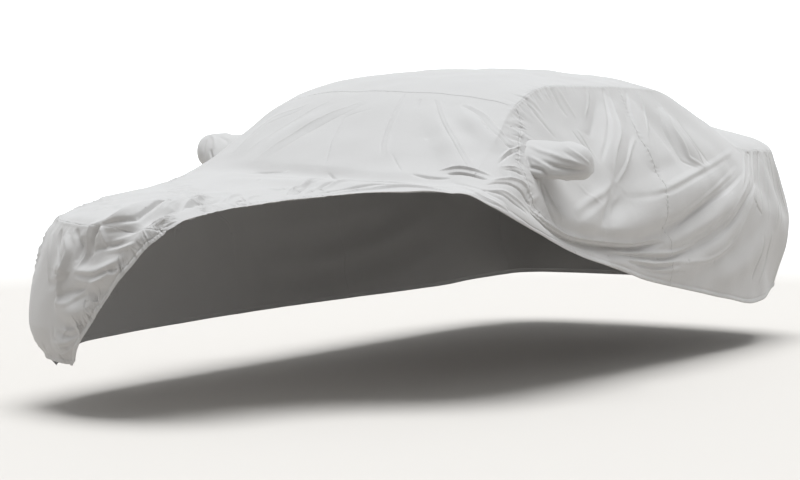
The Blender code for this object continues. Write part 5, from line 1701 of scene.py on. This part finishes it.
def pocket_grid(hand, droop):
    """Rings from the root, which follows the panel, to the tip, which may hang lower."""
    turn = np.linspace(0.0, 2 * np.pi, POCKET_SIDES + 1)
    root_x, tip_x = POCKET["rows"][1][0], POCKET["rows"][-1][0]
    rings = []
    for x, y, z, half_depth, half_height, slant in POCKET["rows"]:
        rise = half_height * np.sin(turn)
        lowered = z - droop * min(max((x - root_x) / (tip_x - root_x), 0.0), 1.0)
        across = y + half_depth * np.cos(turn) + slant * rise
        rings.append(np.stack([np.full(len(turn), x), across, lowered + rise], axis=1))
    rings = np.array(rings)
    rings[0, :, 0] = panel_x(rings[0, :, 1], rings[0, :, 2]) - POCKET_TURN_IN
    run = np.concatenate([[0.0], np.cumsum(np.linalg.norm(np.diff(rings, axis=0), axis=2).mean(axis=1))])
    steps = np.linspace(0.0, run[-1], POCKET_RINGS + 1)
    spread = rings.reshape(len(rings), 1, -1)
    grid = between(run, spread, steps[:, None] + np.zeros(rings[0].size), level_ends=False)
    grid = grid.reshape(POCKET_RINGS + 1, POCKET_SIDES + 1, 3)
    grid[..., 0] *= hand
    return grid if hand > 0 else grid[:, ::-1]


print("the left pocket's grid:", pocket_grid(1, 0.0).shape[:2])

# %% Make the pockets
LEFT_DROOP = 0.030  # how far the left tip hangs below its root


def make_pocket(hand, name, droop):
    grid = pocket_grid(hand, droop)
    facing = outward({"pocket": grid})["pocket"].reshape(-1, 3)
    mesh = bpy.data.meshes.new(name + "_cloth")
    points = grid.reshape(-1, 3)
    height = unevenness(points)
    surface = surface_of([grid])
    for row in POCKET_CREASES["rows"]:
        for fold in crease(row, surface):
            height += fold.lift(points, facing)
    points = points + facing * height[:, None]
    mesh.from_pydata((points - ROOF_REST).tolist(), [], quads_of(grid).tolist())
    piece = bpy.data.objects.new(name + "_cloth", mesh)
    rows, lines = np.divmod(np.arange(len(points)), POCKET_SIDES + 1)
    finished(piece, threads_of(grid, rows, lines))
    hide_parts(name)
    across, along, area = flat_size(grid)
    print(name, len(mesh.polygons), "faces, creases up to", round(float(np.abs(height).max()), 4), "m")


make_pocket(1, "left_mirror_pocket", LEFT_DROOP)
make_pocket(-1, "right_mirror_pocket", 0.0)

# %% [markdown]
# ## Floor and light
# The photograph is a studio picture on white. A ring of lamps could light it, but each would leave its
# own highlight. Instead a pale floor that sweeps up and a pale sky give the even light from all round,
# and one very wide sun from above makes the top brighter than the sides. The floor is darker on the side
# that the nose faces, which gives the nose its shade.

# %% The floor's form
GROUND_Z = -float(ROOF_REST[2])
FLOOR_PROFILE = (  # radius and height: a flat floor that sweeps up all round
    (0.0, 0.0), (4.0, 0.0), (9.0, 0.0), (16.0, 0.0), (24.0, 0.0), (29.0, 0.7), (32.5, 3.0), (34.5, 7.0),
    (35.5, 12.0),
)
FLOOR_SIDES = 96

turn = np.linspace(0.0, 2 * np.pi, FLOOR_SIDES, endpoint=False)
circle = list(zip(np.cos(turn), np.sin(turn)))
rings = np.array([[(r * c, r * s, z) for c, s in circle] for r, z in FLOOR_PROFILE[1:]])
number = 1 + np.arange(rings[..., 0].size).reshape(rings.shape[:2])
turned = np.roll(number, -1, axis=1)
faces = np.stack([number[:-1], number[1:], turned[1:], turned[:-1]], axis=-1).reshape(-1, 4).tolist()
faces += [[0, a, b] for a, b in zip(number[0].tolist(), turned[0].tolist())]
floor_mesh = bpy.data.meshes.new("floor")
floor_mesh.from_pydata([(0.0, 0.0, 0.0)] + rings.reshape(-1, 3).tolist(), [], faces)
floor_mesh.shade_smooth()
floor = bpy.data.objects.new("floor", floor_mesh)
floor.location = (0.0, 0.0, GROUND_Z)
bpy.context.scene.collection.objects.link(floor)
print("the floor is", 2 * FLOOR_PROFILE[-1][0], "m wide, in", len(faces), "faces")

# %% The floor's finish
NEAR_COLOUR, FAR_COLOUR, DARK_COLOUR = (0.585, 0.554, 0.518), (0.90, 0.90, 0.90), (0.20, 0.19, 0.18)
FAR_FROM, FAR_TO = 5.0, 13.0  # radii
NOSE_WAY = (0.513, -0.857, 0.0)  # from the cover towards the camera, past the nose
DARK_FROM, DARK_TO = 4.5, 9.0  # distances in that direction
GLOW, FLOOR_ROUGHNESS, FLOOR_SHINE = 0.30, 0.9, 0.05

finish = Finish("pale_floor")
spot = finish.node("ShaderNodeTexCoord", out=3)
near = finish.node("ShaderNodeVectorMath", {"operation": "LENGTH"}, {0: spot}, out=1)
far = finish.node("ShaderNodeMapRange", None, {"Value": near, 1: FAR_FROM, 2: FAR_TO, 3: 0.0, 4: 1.0})
floor_colour = finish.mix(far, NEAR_COLOUR, FAR_COLOUR)
ahead_of_nose = finish.node(
    "ShaderNodeVectorMath", {"operation": "DOT_PRODUCT"}, {0: spot, 1: NOSE_WAY}, out=1,
)
dark_end = finish.node("ShaderNodeMapRange", None, {
    "Value": ahead_of_nose, 1: DARK_FROM, 2: DARK_TO, 3: 0.0, 4: 1.0,
})
finish.shade(Base_Color=finish.mix(dark_end, floor_colour, DARK_COLOUR))
glow_colour = finish.mix(far * (1 - dark_end), (0.0, 0.0, 0.0), (1.0, 1.0, 1.0))
finish.shade(
    Emission_Color=glow_colour, Emission_Strength=GLOW,
    Roughness=FLOOR_ROUGHNESS, Specular_IOR_Level=FLOOR_SHINE,
)
floor_mesh.materials.append(finish.material)
print("the floor pales from", FAR_FROM, "to", FAR_TO, "m out")

# %% The light
COOL_WHITE = (0.965, 1.0, 1.035)
SUN_STRENGTH, SUN_WIDTH, SUN_TURN = 3.56, 0.80, (-0.02, 0.04, 0.0)
SKY_STRENGTH = 0.47

lamp = bpy.data.lights.new("overhead", "SUN")
lamp.energy = SUN_STRENGTH
lamp.angle = SUN_WIDTH
lamp.color = COOL_WHITE
overhead = bpy.data.objects.new("overhead", lamp)
overhead.rotation_euler = SUN_TURN
bpy.context.scene.collection.objects.link(overhead)

sky = bpy.data.worlds.new("studio")
sky.use_nodes = True
glow = sky.node_tree.nodes["Background"]
glow.inputs["Color"].default_value = (*COOL_WHITE, 1.0)
glow.inputs["Strength"].default_value = SKY_STRENGTH
bpy.context.scene.world = sky
bpy.context.scene.view_settings.view_transform = "Standard"
print("one sun of", SUN_STRENGTH, "and a sky of", SKY_STRENGTH)

# %% [markdown]
# ## Counting the triangles
# The triangles of the cloth and the stitches are counted and printed. They could be read off the screen,
# but counting them after the modifiers gives the meshes as the modifiers make them.

# %% Count the triangles and finish
bpy.context.view_layer.update()
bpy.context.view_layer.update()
seen = bpy.context.evaluated_depsgraph_get()
triangles = {}
for thing in bpy.context.scene.objects:
    if thing.name.endswith(("_cloth", "_stitches")):
        shape = thing.evaluated_get(seen).data
        triangles[thing.name] = len(shape.loops) - 2 * len(shape.polygons)
print("triangles in all:", sum(triangles.values()), "and in the largest piece:", max(triangles.values()))
